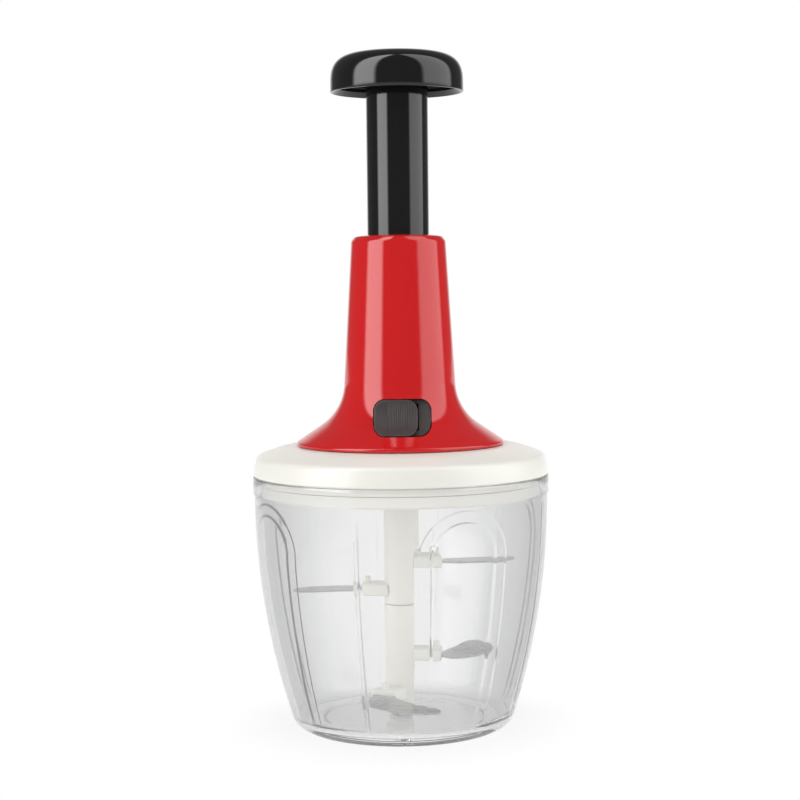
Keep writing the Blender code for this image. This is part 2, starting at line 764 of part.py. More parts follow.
def blade(name, height, angle, tip_radius, sweep, rise, pitch, tip_share):
    """Flat or swept blade with a ground leading edge, its tang in the arm."""
    root = HUB_RADIUS + BLADE_ROOT_DEPTH
    free = HUB_RADIUS + ARM_REACH
    radii = [root]
    for turn in spread(0, math.pi / 2, BLADE_SECTIONS - 1):
        radii.append(free + (tip_radius - free) * math.sin(turn))
    centres = []
    for radius in radii:
        out = max(0, (radius - free) / (tip_radius - free))
        turned_by = angle + sweep * out ** 2
        flat = (radius * math.cos(turned_by), radius * math.sin(turned_by))
        centres.append((out, radius, Vector((*flat, height + rise * out ** 2))))
    rings = []
    for index, (out, radius, centre) in enumerate(centres):
        before = centres[max(index - 1, 0)][2]
        after = centres[min(index + 1, BLADE_SECTIONS) if out > 0 else 1][2]
        along = (after - before).normalized()
        share = (radius - root) / (tip_radius - root)
        level = Vector((0, 0, 1)).cross(along).normalized()
        across = Matrix.Rotation(pitch * math.sqrt(out), 3, along) @ level
        upward = along.cross(across)
        full = min(1, out / BLADE_SHOULDER_SHARE)
        width = BLADE_TANG_WIDTH + (BLADE_WIDTH - BLADE_TANG_WIDTH) * full
        near_tip = max(0, (share - 1 + tip_share) / tip_share)
        width = BLADE_TIP_WIDTH + (width - BLADE_TIP_WIDTH) * math.sqrt(1 - near_tip ** 2)
        grind = min(BLADE_GRIND, width / 2)
        back = -width / 2
        shoulder = width / 2 - grind
        edge = width / 2
        section = [(back, -BLADE_THICKNESS / 2), (shoulder, -BLADE_THICKNESS / 2)]
        section += [(edge, -BLADE_EDGE / 2), (edge, BLADE_EDGE / 2)]
        section += [(shoulder, BLADE_THICKNESS / 2), (back, BLADE_THICKNESS / 2)]
        rings.append([centre + across * side + upward * up for side, up in section])
    return as_part(loft(name, rings), name, "blade_steel")


BLADES = (
    ("blade_1", BLADE_1_Z, BLADE_1_ANGLE, BLADE_1_TIP, UPPER_SWEEP, 0, 0, FLAT_TIP_SHARE),
    ("blade_2", BLADE_2_Z, BLADE_2_ANGLE, BLADE_2_TIP, UPPER_SWEEP, 0, 0, FLAT_TIP_SHARE),
    ("blade_3", BLADE_3_Z, BLADE_3_ANGLE, BLADE_3_TIP, BLADE_3_SWEEP, BLADE_3_RISE, BLADE_3_PITCH,
     ROUND_TIP_SHARE),
    ("blade_4", BLADE_4_Z, BLADE_4_ANGLE, BLADE_4_TIP, BLADE_4_SWEEP, BLADE_4_RISE, BLADE_4_PITCH,
     POINTED_TIP_SHARE),
)


def make_cutter():
    """Blade hub in two mouldings with four arms, and the four blades."""
    points = rounded([
        (0, HUB_TOP_Z, 0),
        (HUB_RADIUS, HUB_TOP_Z, HUB_EDGE_FILLET), (HUB_RADIUS, HUB_JOINT_Z + SEAT_GAP, 0),
        (HUB_SPIGOT_RADIUS + SEAT_GAP, HUB_JOINT_Z + SEAT_GAP, 0),
        (HUB_SPIGOT_RADIUS + SEAT_GAP, HUB_JOINT_Z + HUB_SPIGOT_LENGTH + SEAT_GAP, 0),
        (0, HUB_JOINT_Z + HUB_SPIGOT_LENGTH + SEAT_GAP, 0)])
    upper = turned("upper_hub", points, HUB_SEGMENTS, ring=False)
    as_part(upper, "upper_hub", "cream_plastic")
    pin_bore = PIN_RADIUS + SLIDE_GAP
    bore_top = PIN_BOTTOM_Z + HUB_PIN_BORE_DEPTH + PIN_SOCKET_DEPTH
    points = rounded([
        (0, HUB_JOINT_Z + HUB_SPIGOT_LENGTH, 0),
        (HUB_SPIGOT_RADIUS, HUB_JOINT_Z + HUB_SPIGOT_LENGTH, 0),
        (HUB_SPIGOT_RADIUS, HUB_JOINT_Z, 0), (HUB_RADIUS, HUB_JOINT_Z, 0),
        (HUB_RADIUS, HUB_BOTTOM_Z + HUB_FOOT_HEIGHT, 0),
        (HUB_FOOT_RADIUS, HUB_BOTTOM_Z + HUB_FOOT_HEIGHT, 0),
        (HUB_FOOT_RADIUS, HUB_BOTTOM_Z, HUB_EDGE_FILLET),
        (pin_bore, HUB_BOTTOM_Z, 0), (pin_bore, bore_top, 0), (0, bore_top, 0)])
    lower = turned("lower_hub", points, HUB_SEGMENTS, ring=False)
    as_part(lower, "lower_hub", "cream_plastic")
    for hub, rows in ((upper, BLADES[:2]), (lower, BLADES[2:])):
        for name, height, angle, *bend in rows:
            arm = arm_blank(height, angle)
            core_radius = (HUB_SPIGOT_RADIUS + HUB_RADIUS) / 2
            core = cylinder("core", core_radius, height - ARM_HEIGHT, height + ARM_HEIGHT)
            cut(arm, core)
            join(hub, arm)
            cut(hub, tang_slot(height, angle))
            blade(name, height, angle, *bend)
    hexagon = cylinder("hexagon", DOG_HEX_RADIUS + SEAT_GAP, HEX_BOTTOM_Z - SEAT_GAP,
                       HUB_TOP_Z + CUT_OVERRUN, segments=HEX_SIDES)
    cut(upper, hexagon)


def lid_corners():
    """Outer corners of the lid's top, from the middle to the bottom edge."""
    crown = HOUSING_BASE_RADIUS + LID_CROWN_MARGIN
    return [
        (GUARD_RADIUS, CROWN_Z, 0),
        (crown, CROWN_Z, LID_CROWN_FILLET),
        (RIM_RADIUS - LID_SHOULDER_INSET, CROWN_Z - LID_SHOULDER_DROP, LID_SHOULDER_FILLET),
        (RIM_RADIUS, LID_Z, LID_EDGE_FILLET),
    ]


def make_lid():
    """Domed lid with the collar that drops into the bowl, and its seal."""
    outer = lid_corners()
    web_z = LID_Z + LID_WALL
    skirt = RIM_RADIUS - LID_WALL
    collar_inner = COLLAR_RADIUS - COLLAR_WALL
    groove = COLLAR_RADIUS - SEAL_GROOVE
    seal_z = LID_Z - SEAL_DROP
    under = inset(outer, LID_WALL)
    corners = outer + [
        (COLLAR_RADIUS, LID_Z, 0),
        (COLLAR_RADIUS, seal_z, 0), (groove, seal_z, 0),
        (groove, seal_z - SEAL_HEIGHT, 0), (COLLAR_RADIUS, seal_z - SEAL_HEIGHT, 0),
        (COLLAR_RADIUS, COLLAR_Z, LID_EDGE_FILLET), (collar_inner, COLLAR_Z, 0),
        (collar_inner, web_z, 0), (skirt, web_z, 0),
        (*under[2][:2], 0), (*under[1][:2], 0),
        (GUARD_RADIUS + GUARD_WALL, CROWN_UNDERSIDE_Z, 0),
        (GUARD_RADIUS + GUARD_WALL, GUARD_Z, 0), (GUARD_RADIUS, GUARD_Z, 0),
    ]
    lid = turned("lid", rounded(corners), LID_SEGMENTS)
    as_part(lid, "lid", "cream_plastic")
    holes = screw_holes("lid_holes", CROWN_UNDERSIDE_Z - CUT_OVERRUN, CROWN_Z + CUT_OVERRUN)
    cut(lid, holes)
    seal_outer = BOWL_BODY_RADIUS - BOWL_WALL - SEAT_GAP
    points = tube_points(seal_outer, groove + SEAT_GAP, seal_z - SEAL_HEIGHT + SEAT_GAP,
                         seal_z - SEAT_GAP)
    as_part(turned("seal", points, LID_SEGMENTS), "lid_seal", "soft_silicone")


def screw_places():
    """The four screw positions in the head."""
    places = []
    for index in range(HEAD_SCREW_COUNT):
        angle = math.tau * (index + 1 / 2) / HEAD_SCREW_COUNT
        places.append((SCREW_CIRCLE_RADIUS * math.cos(angle), SCREW_CIRCLE_RADIUS * math.sin(angle)))
    return places


def screw_holes(name, bottom, top):
    """Cutters for the four head screws between two heights."""
    radius = SCREW_SHANK_RADIUS + SEAT_GAP
    return group(name, [cylinder("hole", radius, bottom, top, x, y) for x, y in screw_places()])


def housing_corners():
    """Outer corners of the handle housing, from the tube hole down to the base."""
    return [
        (TUBE_RADIUS + SLIDE_GAP, HOUSING_TOP_Z, 0),
        (HOUSING_LIP_RADIUS, HOUSING_TOP_Z, 0),
        (HOUSING_CROWN_RADIUS, HOUSING_TOP_Z - HOUSING_CROWN_DROP, HOUSING_TOP_FILLET),
        (HOUSING_NECK_RADIUS, HOUSING_TOP_Z - HOUSING_NECK_DROP, HOUSING_TOP_FILLET),
        (HOUSING_WAIST_RADIUS, HEAD_Z + HOUSING_WAIST_HEIGHT, HOUSING_FLARE_FILLET),
        (HOUSING_BASE_RADIUS, HEAD_Z + HOUSING_EDGE_HEIGHT, HOUSING_EDGE_FILLET),
        (HOUSING_BASE_RADIUS, HEAD_Z, 0),
    ]


def housing_inner_points():
    """Inner outline of the housing, from the top hole down to the base."""
    return rounded(inset(housing_corners(), HOUSING_WALL))


def lock_outline(width, height, corner, middle_x):
    """Rounded rectangle around the lock's centre, in X and Z."""
    points = []
    for side_x, side_z, start in ((1, 1, 0), (-1, 1, 1), (-1, -1, 2), (1, -1, 3)):
        centre_x = middle_x + side_x * (width / 2 - corner)
        centre_z = LOCK_Z + side_z * (height / 2 - corner)
        for angle in spread(start * math.pi / 2, (start + 1) * math.pi / 2, LOCK_CORNER_STEPS):
            points.append((centre_x + corner * math.cos(angle), centre_z + corner * math.sin(angle)))
    return points


def lock_prism(name, width, height, corner, middle_x):
    """Rounded block that runs from outside the housing to its axis."""
    depth = HOUSING_BASE_RADIUS + CUT_OVERRUN
    place = Matrix.Translation((0, -depth / 2, 0)) @ Matrix.Rotation(math.pi / 2, 4, 'X')
    return plate(name, lock_outline(width, height, corner, middle_x), depth, place)


def flare_line(depth, low, high):
    """Points that follow the housing's flare upwards at a depth below its surface."""
    outline = rounded(housing_corners())
    heights = spread(low, high, LOCK_CORNER_STEPS * 2)
    return [(depth - radius_at(outline, z), z) for z in heights]


def flare_sheet(name, facing, behind, low_x, high_x):
    """Sheet between two lines of (y, z) points that is straight across."""
    axes = Matrix(((0, 0, 1, (low_x + high_x) / 2), (1, 0, 0, 0), (0, 1, 0, 0), (0, 0, 0, 1)))
    return plate(name, facing + behind[::-1], high_x - low_x, axes)


def make_housing():
    """Red handle housing with its screw pillars, guide ribs and lock slot."""
    outer = housing_corners()
    inner = list(reversed(inset(outer, HOUSING_WALL)))
    inner_top = inner[-1]
    inner[-1] = (outer[0][0], inner_top[1], 0)
    inner[0] = (inner[0][0], HEAD_Z, 0)
    housing = turned("housing", rounded(outer + inner), HOUSING_SEGMENTS)
    as_part(housing, "handle_housing", "red_plastic")
    shapes = []
    for x, y in screw_places():
        shapes.append(cylinder("pillar", PILLAR_RADIUS, DRIVE_BASE_TOP_Z + SEAT_GAP,
                               DRIVE_BASE_TOP_Z + PILLAR_HEIGHT, x, y))
    rib_foot_z = DRIVE_BASE_TOP_Z + GUIDE_RIB_FOOT_HEIGHT
    for side in (1, -1):
        ends = sorted((side * (FLANGE_RADIUS - GUIDE_RIB_WIDTH / 2), side * HOUSING_BASE_RADIUS))
        shapes.append(box("guide_rib", (ends[0], -GUIDE_RIB_WIDTH / 2, rib_foot_z),
                          (ends[1], GUIDE_RIB_WIDTH / 2, BUSH_BOTTOM_Z - SEAT_GAP)))
    features = group("housing_features", shapes)
    core_points = rounded(inset(outer, HOUSING_WALL / 2))
    core = [(0, core_points[0][1])] + core_points + [(0, core_points[-1][1])]
    keep_inside(features, turned("housing_core", core, HOUSING_SEGMENTS, ring=False))
    join(housing, features)
    cut(housing, lock_prism("lock_opening", LOCK_SLOT_WIDTH, LOCK_SLOT_HEIGHT, LOCK_CORNER,
                            LOCK_CENTRE_X))
    pilot_end_z = DRIVE_BASE_TOP_Z + SCREW_BITE + SCREW_END_GAP
    cut(housing, screw_holes("pilot_holes", DRIVE_BASE_TOP_Z, pilot_end_z))


def make_guide_bush():
    """Ring under the housing's top that guides the plunger tube."""
    inner = housing_inner_points()
    outer_radius = radius_at(inner, BUSH_TOP_Z) - SEAT_GAP
    points = tube_points(outer_radius, TUBE_RADIUS + SLIDE_GAP, BUSH_BOTTOM_Z, BUSH_TOP_Z)
    as_part(turned("guide", points, TUBE_SEGMENTS), "guide_bush", "white_nylon")


def make_drive_base():
    """Plate that closes the housing below and carries the bearing."""
    bore = BUSH_BORE_RADIUS + BUSH_WALL + SEAT_GAP
    points = [
        (DRIVE_HUB_RADIUS, DRIVE_HUB_Z), (DRIVE_HUB_RADIUS, DRIVE_BASE_TOP_Z),
        (DRIVE_BASE_RADIUS, DRIVE_BASE_TOP_Z), (DRIVE_BASE_RADIUS, HEAD_Z), (SPIGOT_RADIUS, HEAD_Z),
        (SPIGOT_RADIUS, SPIGOT_Z), (bore, SPIGOT_Z), (bore, DRIVE_HUB_Z),
    ]
    base = as_part(turned("base", points, TUBE_SEGMENTS), "drive_base", "white_nylon")
    cut(base, screw_holes("base_holes", HEAD_Z - CUT_OVERRUN, DRIVE_BASE_TOP_Z + CUT_OVERRUN))
    outer = BUSH_BORE_RADIUS + BUSH_WALL
    points = [
        (BUSH_FLANGE_RADIUS, BUSH_FLANGE_TOP_Z), (BUSH_FLANGE_RADIUS, BUSH_FLANGE_Z),
        (outer, BUSH_FLANGE_Z), (outer, SPIGOT_Z),
        (BUSH_BORE_RADIUS, SPIGOT_Z), (BUSH_BORE_RADIUS, BUSH_FLANGE_TOP_Z),
    ]
    as_part(turned("bush", points, HUB_SEGMENTS), "bearing_bush", "bearing_brass")
    points = tube_points(BUSH_FLANGE_RADIUS, BUSH_BORE_RADIUS, THRUST_Z, THRUST_TOP_Z)
    as_part(turned("washer", points, HUB_SEGMENTS), "thrust_washer", "plated_steel")
    points = tube_points(SPRING_SEAT_RADIUS, BUSH_FLANGE_RADIUS + SEAT_GAP, DRIVE_HUB_Z + SEAT_GAP,
                         SPRING_SEAT_TOP_Z)
    as_part(turned("seat", points, HUB_SEGMENTS), "spring_seat", "plated_steel")


def make_screw(name, shank_radius, head_radius, head_height, length):
    """Pan-head screw with its head's underside at the origin and its shank up."""
    points = rounded([
        (0, length, 0), (shank_radius, length - shank_radius, 0), (shank_radius, 0, 0),
        (head_radius, 0, 0), (head_radius, -head_height, SCREW_HEAD_FILLET), (0, -head_height, 0)])
    return turned(name, points, SMALL_SEGMENTS, ring=False)


def make_head_screws():
    """Four screws, up through the lid and drive base into the pillars."""
    under_head = CROWN_UNDERSIDE_Z - SEAT_GAP
    length = DRIVE_BASE_TOP_Z + SCREW_BITE - under_head
    for index, (x, y) in enumerate(screw_places()):
        screw = make_screw("screw", SCREW_SHANK_RADIUS, SCREW_HEAD_RADIUS, SCREW_HEAD_HEIGHT,
                           length)
        screw.location = (x, y, under_head)
        as_part(screw, f"head_screw_{index + 1}", "plated_steel")


def twist_at(height):
    """Angle of the twisted bar at a height."""
    return math.tau * (height - DOG_TOP_Z) / SPINDLE_LEAD


def bar_section(width, thickness, height, angle):
    """One section of the flat bar, its broad sides in strips."""
    points = []
    for share in spread(-1 / 2, 1 / 2, SPINDLE_STRIPS):
        points.append((width * share, -thickness / 2))
    for share in spread(1 / 2, -1 / 2, SPINDLE_STRIPS):
        points.append((width * share, thickness / 2))
    rotation = Matrix.Rotation(angle, 2)
    return [Vector((*(rotation @ Vector(point)), height)) for point in points]


def twisted_bar(name, width, thickness, bottom, top):
    """Flat bar twisted evenly about the Z axis."""
    steps = math.ceil((top - bottom) / SPINDLE_SECTION_PITCH)
    rings = [bar_section(width, thickness, z, twist_at(z)) for z in spread(bottom, top, steps)]
    return loft(name, rings)


def cross_pin(name, radius, reach):
    """Cross pin through the dog's flange and the spindle's tang, or its bore."""
    height = (DOG_FLANGE_Z + DOG_TOP_Z) / 2
    pin = cylinder(name, radius, -reach, reach)
    return moved(pin, Matrix.Translation((0, 0, height)) @ lying())


def lying():
    """Rotation that lays an upright shape down, its top to the front."""
    return Matrix.Rotation(math.pi / 2, 4, 'X')


def shown(item):
    """Make a primitive visible again after its use as a shape."""
    item.hide_render = False
    item.display_type = 'SOLID'
    return item


def make_spindle():
    """Twisted bar, the dog that it turns, the cross pin and the clip."""
    start = DOG_TOP_Z - TANG_LENGTH
    steps = math.ceil((SPINDLE_TOP_Z - DOG_TOP_Z - SEAT_GAP) / SPINDLE_SECTION_PITCH)
    shoulder = DOG_TOP_Z + SEAT_GAP
    rings = [bar_section(TANG_WIDTH, SPINDLE_THICKNESS, z, 0) for z in (start, DOG_TOP_Z)]
    rings += [bar_section(SPINDLE_WIDTH, SPINDLE_THICKNESS, z, twist_at(z))
              for z in spread(shoulder, SPINDLE_TOP_Z, steps)]
    bar = as_part(loft("bar", rings), "twist_spindle", "plated_steel")
    bore_reach = BUSH_FLANGE_RADIUS + CUT_OVERRUN
    cut(bar, cross_pin("bar_bore", CROSS_PIN_RADIUS + SEAT_GAP, bore_reach))
    groove_z = CLIP_Z - SEAT_GAP
    groove_top = CLIP_TOP_Z + SEAT_GAP / 2
    points = [
        (0, DOG_TOP_Z), (BUSH_FLANGE_RADIUS, DOG_TOP_Z), (BUSH_FLANGE_RADIUS, DOG_FLANGE_Z),
        (DOG_STEM_RADIUS, DOG_FLANGE_Z), (DOG_STEM_RADIUS, groove_top),
        (DOG_STEM_RADIUS - CLIP_GROOVE, groove_top), (DOG_STEM_RADIUS - CLIP_GROOVE, groove_z),
        (DOG_STEM_RADIUS, groove_z), (DOG_STEM_RADIUS, HUB_TOP_Z + SEAT_GAP), (0, HUB_TOP_Z + SEAT_GAP),
    ]
    dog = as_part(turned("dog", points, HUB_SEGMENTS, ring=False), "drive_dog", "plated_steel")
    hexagon = cylinder("dog_hexagon", DOG_HEX_RADIUS, HEX_BOTTOM_Z, groove_z - CLIP_THICKNESS,
                       segments=6)
    join(dog, hexagon)
    half_width = TANG_WIDTH / 2 + SEAT_GAP
    half_thickness = SPINDLE_THICKNESS / 2 + SEAT_GAP
    cut(dog, box("tang_slot", (-half_width, -half_thickness, start - SEAT_GAP),
                 (half_width, half_thickness, DOG_TOP_Z + CUT_OVERRUN)))
    cut(dog, cross_pin("dog_bore", CROSS_PIN_RADIUS + SEAT_GAP, bore_reach))
    pin = shown(cross_pin("pin", CROSS_PIN_RADIUS, BUSH_FLANGE_RADIUS))
    as_part(pin, "cross_pin", "plated_steel")
    inner = DOG_STEM_RADIUS - CLIP_GROOVE + SEAT_GAP
    outline = []
    for angle in spread(CLIP_OPENING_ANGLE / 2, math.tau - CLIP_OPENING_ANGLE / 2, HUB_SEGMENTS):
        outline.append((CLIP_RADIUS * math.cos(angle), CLIP_RADIUS * math.sin(angle)))
    for angle in spread(math.tau - CLIP_OPENING_ANGLE / 2, CLIP_OPENING_ANGLE / 2, HUB_SEGMENTS):
        outline.append((inner * math.cos(angle), inner * math.sin(angle)))
    clip_place = Matrix.Translation((0, 0, CLIP_Z + CLIP_THICKNESS / 2))
    clip = plate("clip", outline, CLIP_THICKNESS, clip_place)
    as_part(clip, "retaining_clip", "spring_steel")


def spring_centres():
    """Centre line of the return spring, with closed end curls."""
    low = SPRING_SEAT_TOP_Z + SEAT_GAP + SPRING_WIRE / 2
    high = NUT_BOTTOM_Z - SEAT_GAP - SPRING_WIRE / 2
    count = SPRING_CURLS * SPRING_POINTS_PER_CURL
    middle_pitch = (high - low - SPRING_END_PITCH * 2) / (SPRING_CURLS - 2)
    points = []
    for index in range(count + 1):
        curl = index / SPRING_POINTS_PER_CURL
        end_turns = min(curl, 1) + max(curl - SPRING_CURLS + 1, 0)
        middle_turns = curl - end_turns
        height = low + SPRING_END_PITCH * end_turns + middle_pitch * middle_turns
        angle = math.tau * curl
        across = (SPRING_RADIUS * math.cos(angle), SPRING_RADIUS * math.sin(angle))
        points.append(Vector((*across, height)))
    return points


def least_gap(points, wire):
    """Least gap of a coil to itself, measured between points a curl apart."""
    near = SPRING_POINTS_PER_CURL // 2
    least = min((first - second).length for index, first in enumerate(points)
                for second in points[index + near:])
    return least - wire


def make_spring():
    """Return spring as one unbroken wire between its seat and the nut."""
    points = spring_centres()
    print(f"return spring, least gap to itself: {least_gap(points, SPRING_WIRE):.5f} m")
    curve = bpy.data.curves.new("spring", 'CURVE')
    curve.dimensions = '3D'
    curve.bevel_depth = SPRING_WIRE / 2
    curve.bevel_resolution = 1
    curve.use_fill_caps = True
    spline = curve.splines.new('POLY')
    spline.points.add(len(points) - 1)
    for point, place in zip(spline.points, points):
        point.co = (*place, 1)
    spring = add_object("return_spring", curve)
    bpy.context.view_layer.update()
    as_part(freeze(spring), "return_spring", "spring_steel")


def key_boxes(width, inner, outer, bottom, top):
    """Two opposite blocks at the sides of the tube's bore."""
    blocks = []
    for side in (1, -1):
        ends = sorted((side * inner, side * outer))
        blocks.append(box("key", (ends[0], -width / 2, bottom), (ends[1], width / 2, top)))
    return group("keys", blocks)


def make_plunger():
    """Plunger tube with its stop flange and keys, and the nut it carries."""
    top_wall_z = TUBE_TOP_Z - TUBE_TOP_WALL
    screw_bore = SCREW_SHANK_RADIUS + SEAT_GAP
    points = [
        (TUBE_RADIUS, TUBE_TOP_Z), (TUBE_RADIUS, FLANGE_TOP_Z), (FLANGE_RADIUS, FLANGE_TOP_Z),
        (FLANGE_RADIUS, TUBE_BOTTOM_Z), (TUBE_BORE, TUBE_BOTTOM_Z), (TUBE_BORE, WEB_Z),
        (WEB_BORE_RADIUS, WEB_Z), (WEB_BORE_RADIUS, WEB_TOP_Z), (TUBE_BORE, WEB_TOP_Z),
        (TUBE_BORE, top_wall_z), (screw_bore, top_wall_z), (screw_bore, TUBE_TOP_Z),
    ]
    tube = as_part(turned("tube", points, TUBE_SEGMENTS), "plunger_tube", "black_plastic")
    join(tube, key_boxes(KEY_WIDTH, TUBE_BORE - KEY_HEIGHT, TUBE_BORE + TUBE_WALL / 2,
                         TUBE_BOTTOM_Z, WEB_Z + WEB_THICKNESS / 2))
    notch_inner = FLANGE_RADIUS - GUIDE_RIB_WIDTH / 2 - SLIDE_GAP
    half = GUIDE_RIB_WIDTH / 2 + SLIDE_GAP
    bottom = TUBE_BOTTOM_Z - CUT_OVERRUN
    top = FLANGE_TOP_Z + CUT_OVERRUN
    notches = []
    for side in (1, -1):
        ends = sorted((side * notch_inner, side * (FLANGE_RADIUS + CUT_OVERRUN)))
        notches.append(box("notch", (ends[0], -half, bottom), (ends[1], half, top)))
    hook = LOCK_NECK_WIDTH / 2 + SLIDE_GAP
    notches.append(box("hook_notch", (-hook, -FLANGE_RADIUS - CUT_OVERRUN, bottom),
                       (hook, -TUBE_RADIUS - SEAT_GAP, top)))
    cut(tube, group("flange_notches", notches))
    nut = cylinder("nut", TUBE_BORE - SEAT_GAP, NUT_BOTTOM_Z, NUT_TOP_Z, segments=TUBE_SEGMENTS)
    as_part(shown(nut), "drive_nut", "white_nylon")
    low = NUT_BOTTOM_Z - CUT_OVERRUN
    high = NUT_TOP_Z + CUT_OVERRUN
    cut(nut, key_boxes(KEY_WIDTH + SEAT_GAP * 2, TUBE_BORE - KEY_HEIGHT - SEAT_GAP,
                       TUBE_BORE + TUBE_WALL, low, high))
    slot_width = SPINDLE_WIDTH + TWIST_GAP * 2
    slot_thickness = SPINDLE_THICKNESS + TWIST_GAP * 2
    cut(nut, twisted_bar("twisted_slot", slot_width, slot_thickness, low, high))


def knob_shoulder(wall):
    """Curve from the knob's crown down to its side, drawn in by a wall."""
    top = KNOB_TOP_Z - KNOB_CROWN_DROP - wall
    reach = KNOB_RADIUS - wall - KNOB_CROWN_RADIUS
    drop = KNOB_SHOULDER_DROP - wall
    points = []
    for angle in spread(0, math.pi / 2, KNOB_SHOULDER_STEPS):
        radius = KNOB_CROWN_RADIUS + reach * math.sin(angle)
        points.append((radius, top - drop * (1 - math.cos(angle)), 0))
    return points


def make_knob():
    """Mushroom knob, the disc that closes it below, and its screw."""
    boss_z = TUBE_TOP_Z + SEAT_GAP
    ceiling = KNOB_TOP_Z - KNOB_WALL
    inner = KNOB_RADIUS - KNOB_WALL
    screw_bore = SCREW_SHANK_RADIUS + SEAT_GAP
    screw_top = ceiling - KNOB_CROWN_DROP
    inside = knob_shoulder(KNOB_WALL)[::-1]
    corners = [(0, KNOB_TOP_Z, 0)] + knob_shoulder(0)
    corners += [(KNOB_RADIUS, KNOB_Z, KNOB_EDGE_FILLET), (inner, KNOB_Z, KNOB_EDGE_FILLET / 2)]
    corners += inside
    corners += [(KNOB_BOSS_RADIUS, ceiling, 0), (KNOB_BOSS_RADIUS, boss_z, 0)]
    corners += [(screw_bore, boss_z, 0), (screw_bore, screw_top, 0), (0, screw_top, 0)]
    knob = turned("knob", rounded(corners), KNOB_SEGMENTS, ring=False)
    as_part(knob, "knob_cap", "black_plastic")
    low = KNOB_Z + KNOB_BASE_LIFT
    high = low + KNOB_BASE_THICKNESS
    disc_radius = radius_at(inside, high) - SEAT_GAP
    points = tube_points(disc_radius, TUBE_RADIUS + SEAT_GAP, low, high)
    as_part(turned("knob_disc", points, KNOB_SEGMENTS), "knob_base", "black_plastic")
    under_head = TUBE_TOP_Z - TUBE_TOP_WALL - SEAT_GAP
    length = screw_top - SCREW_END_GAP - under_head
    screw = make_screw("screw", SCREW_SHANK_RADIUS, SCREW_HEAD_RADIUS, SCREW_HEAD_HEIGHT, length)
    screw.location = (0, 0, under_head)
    as_part(screw, "knob_screw", "plated_steel")


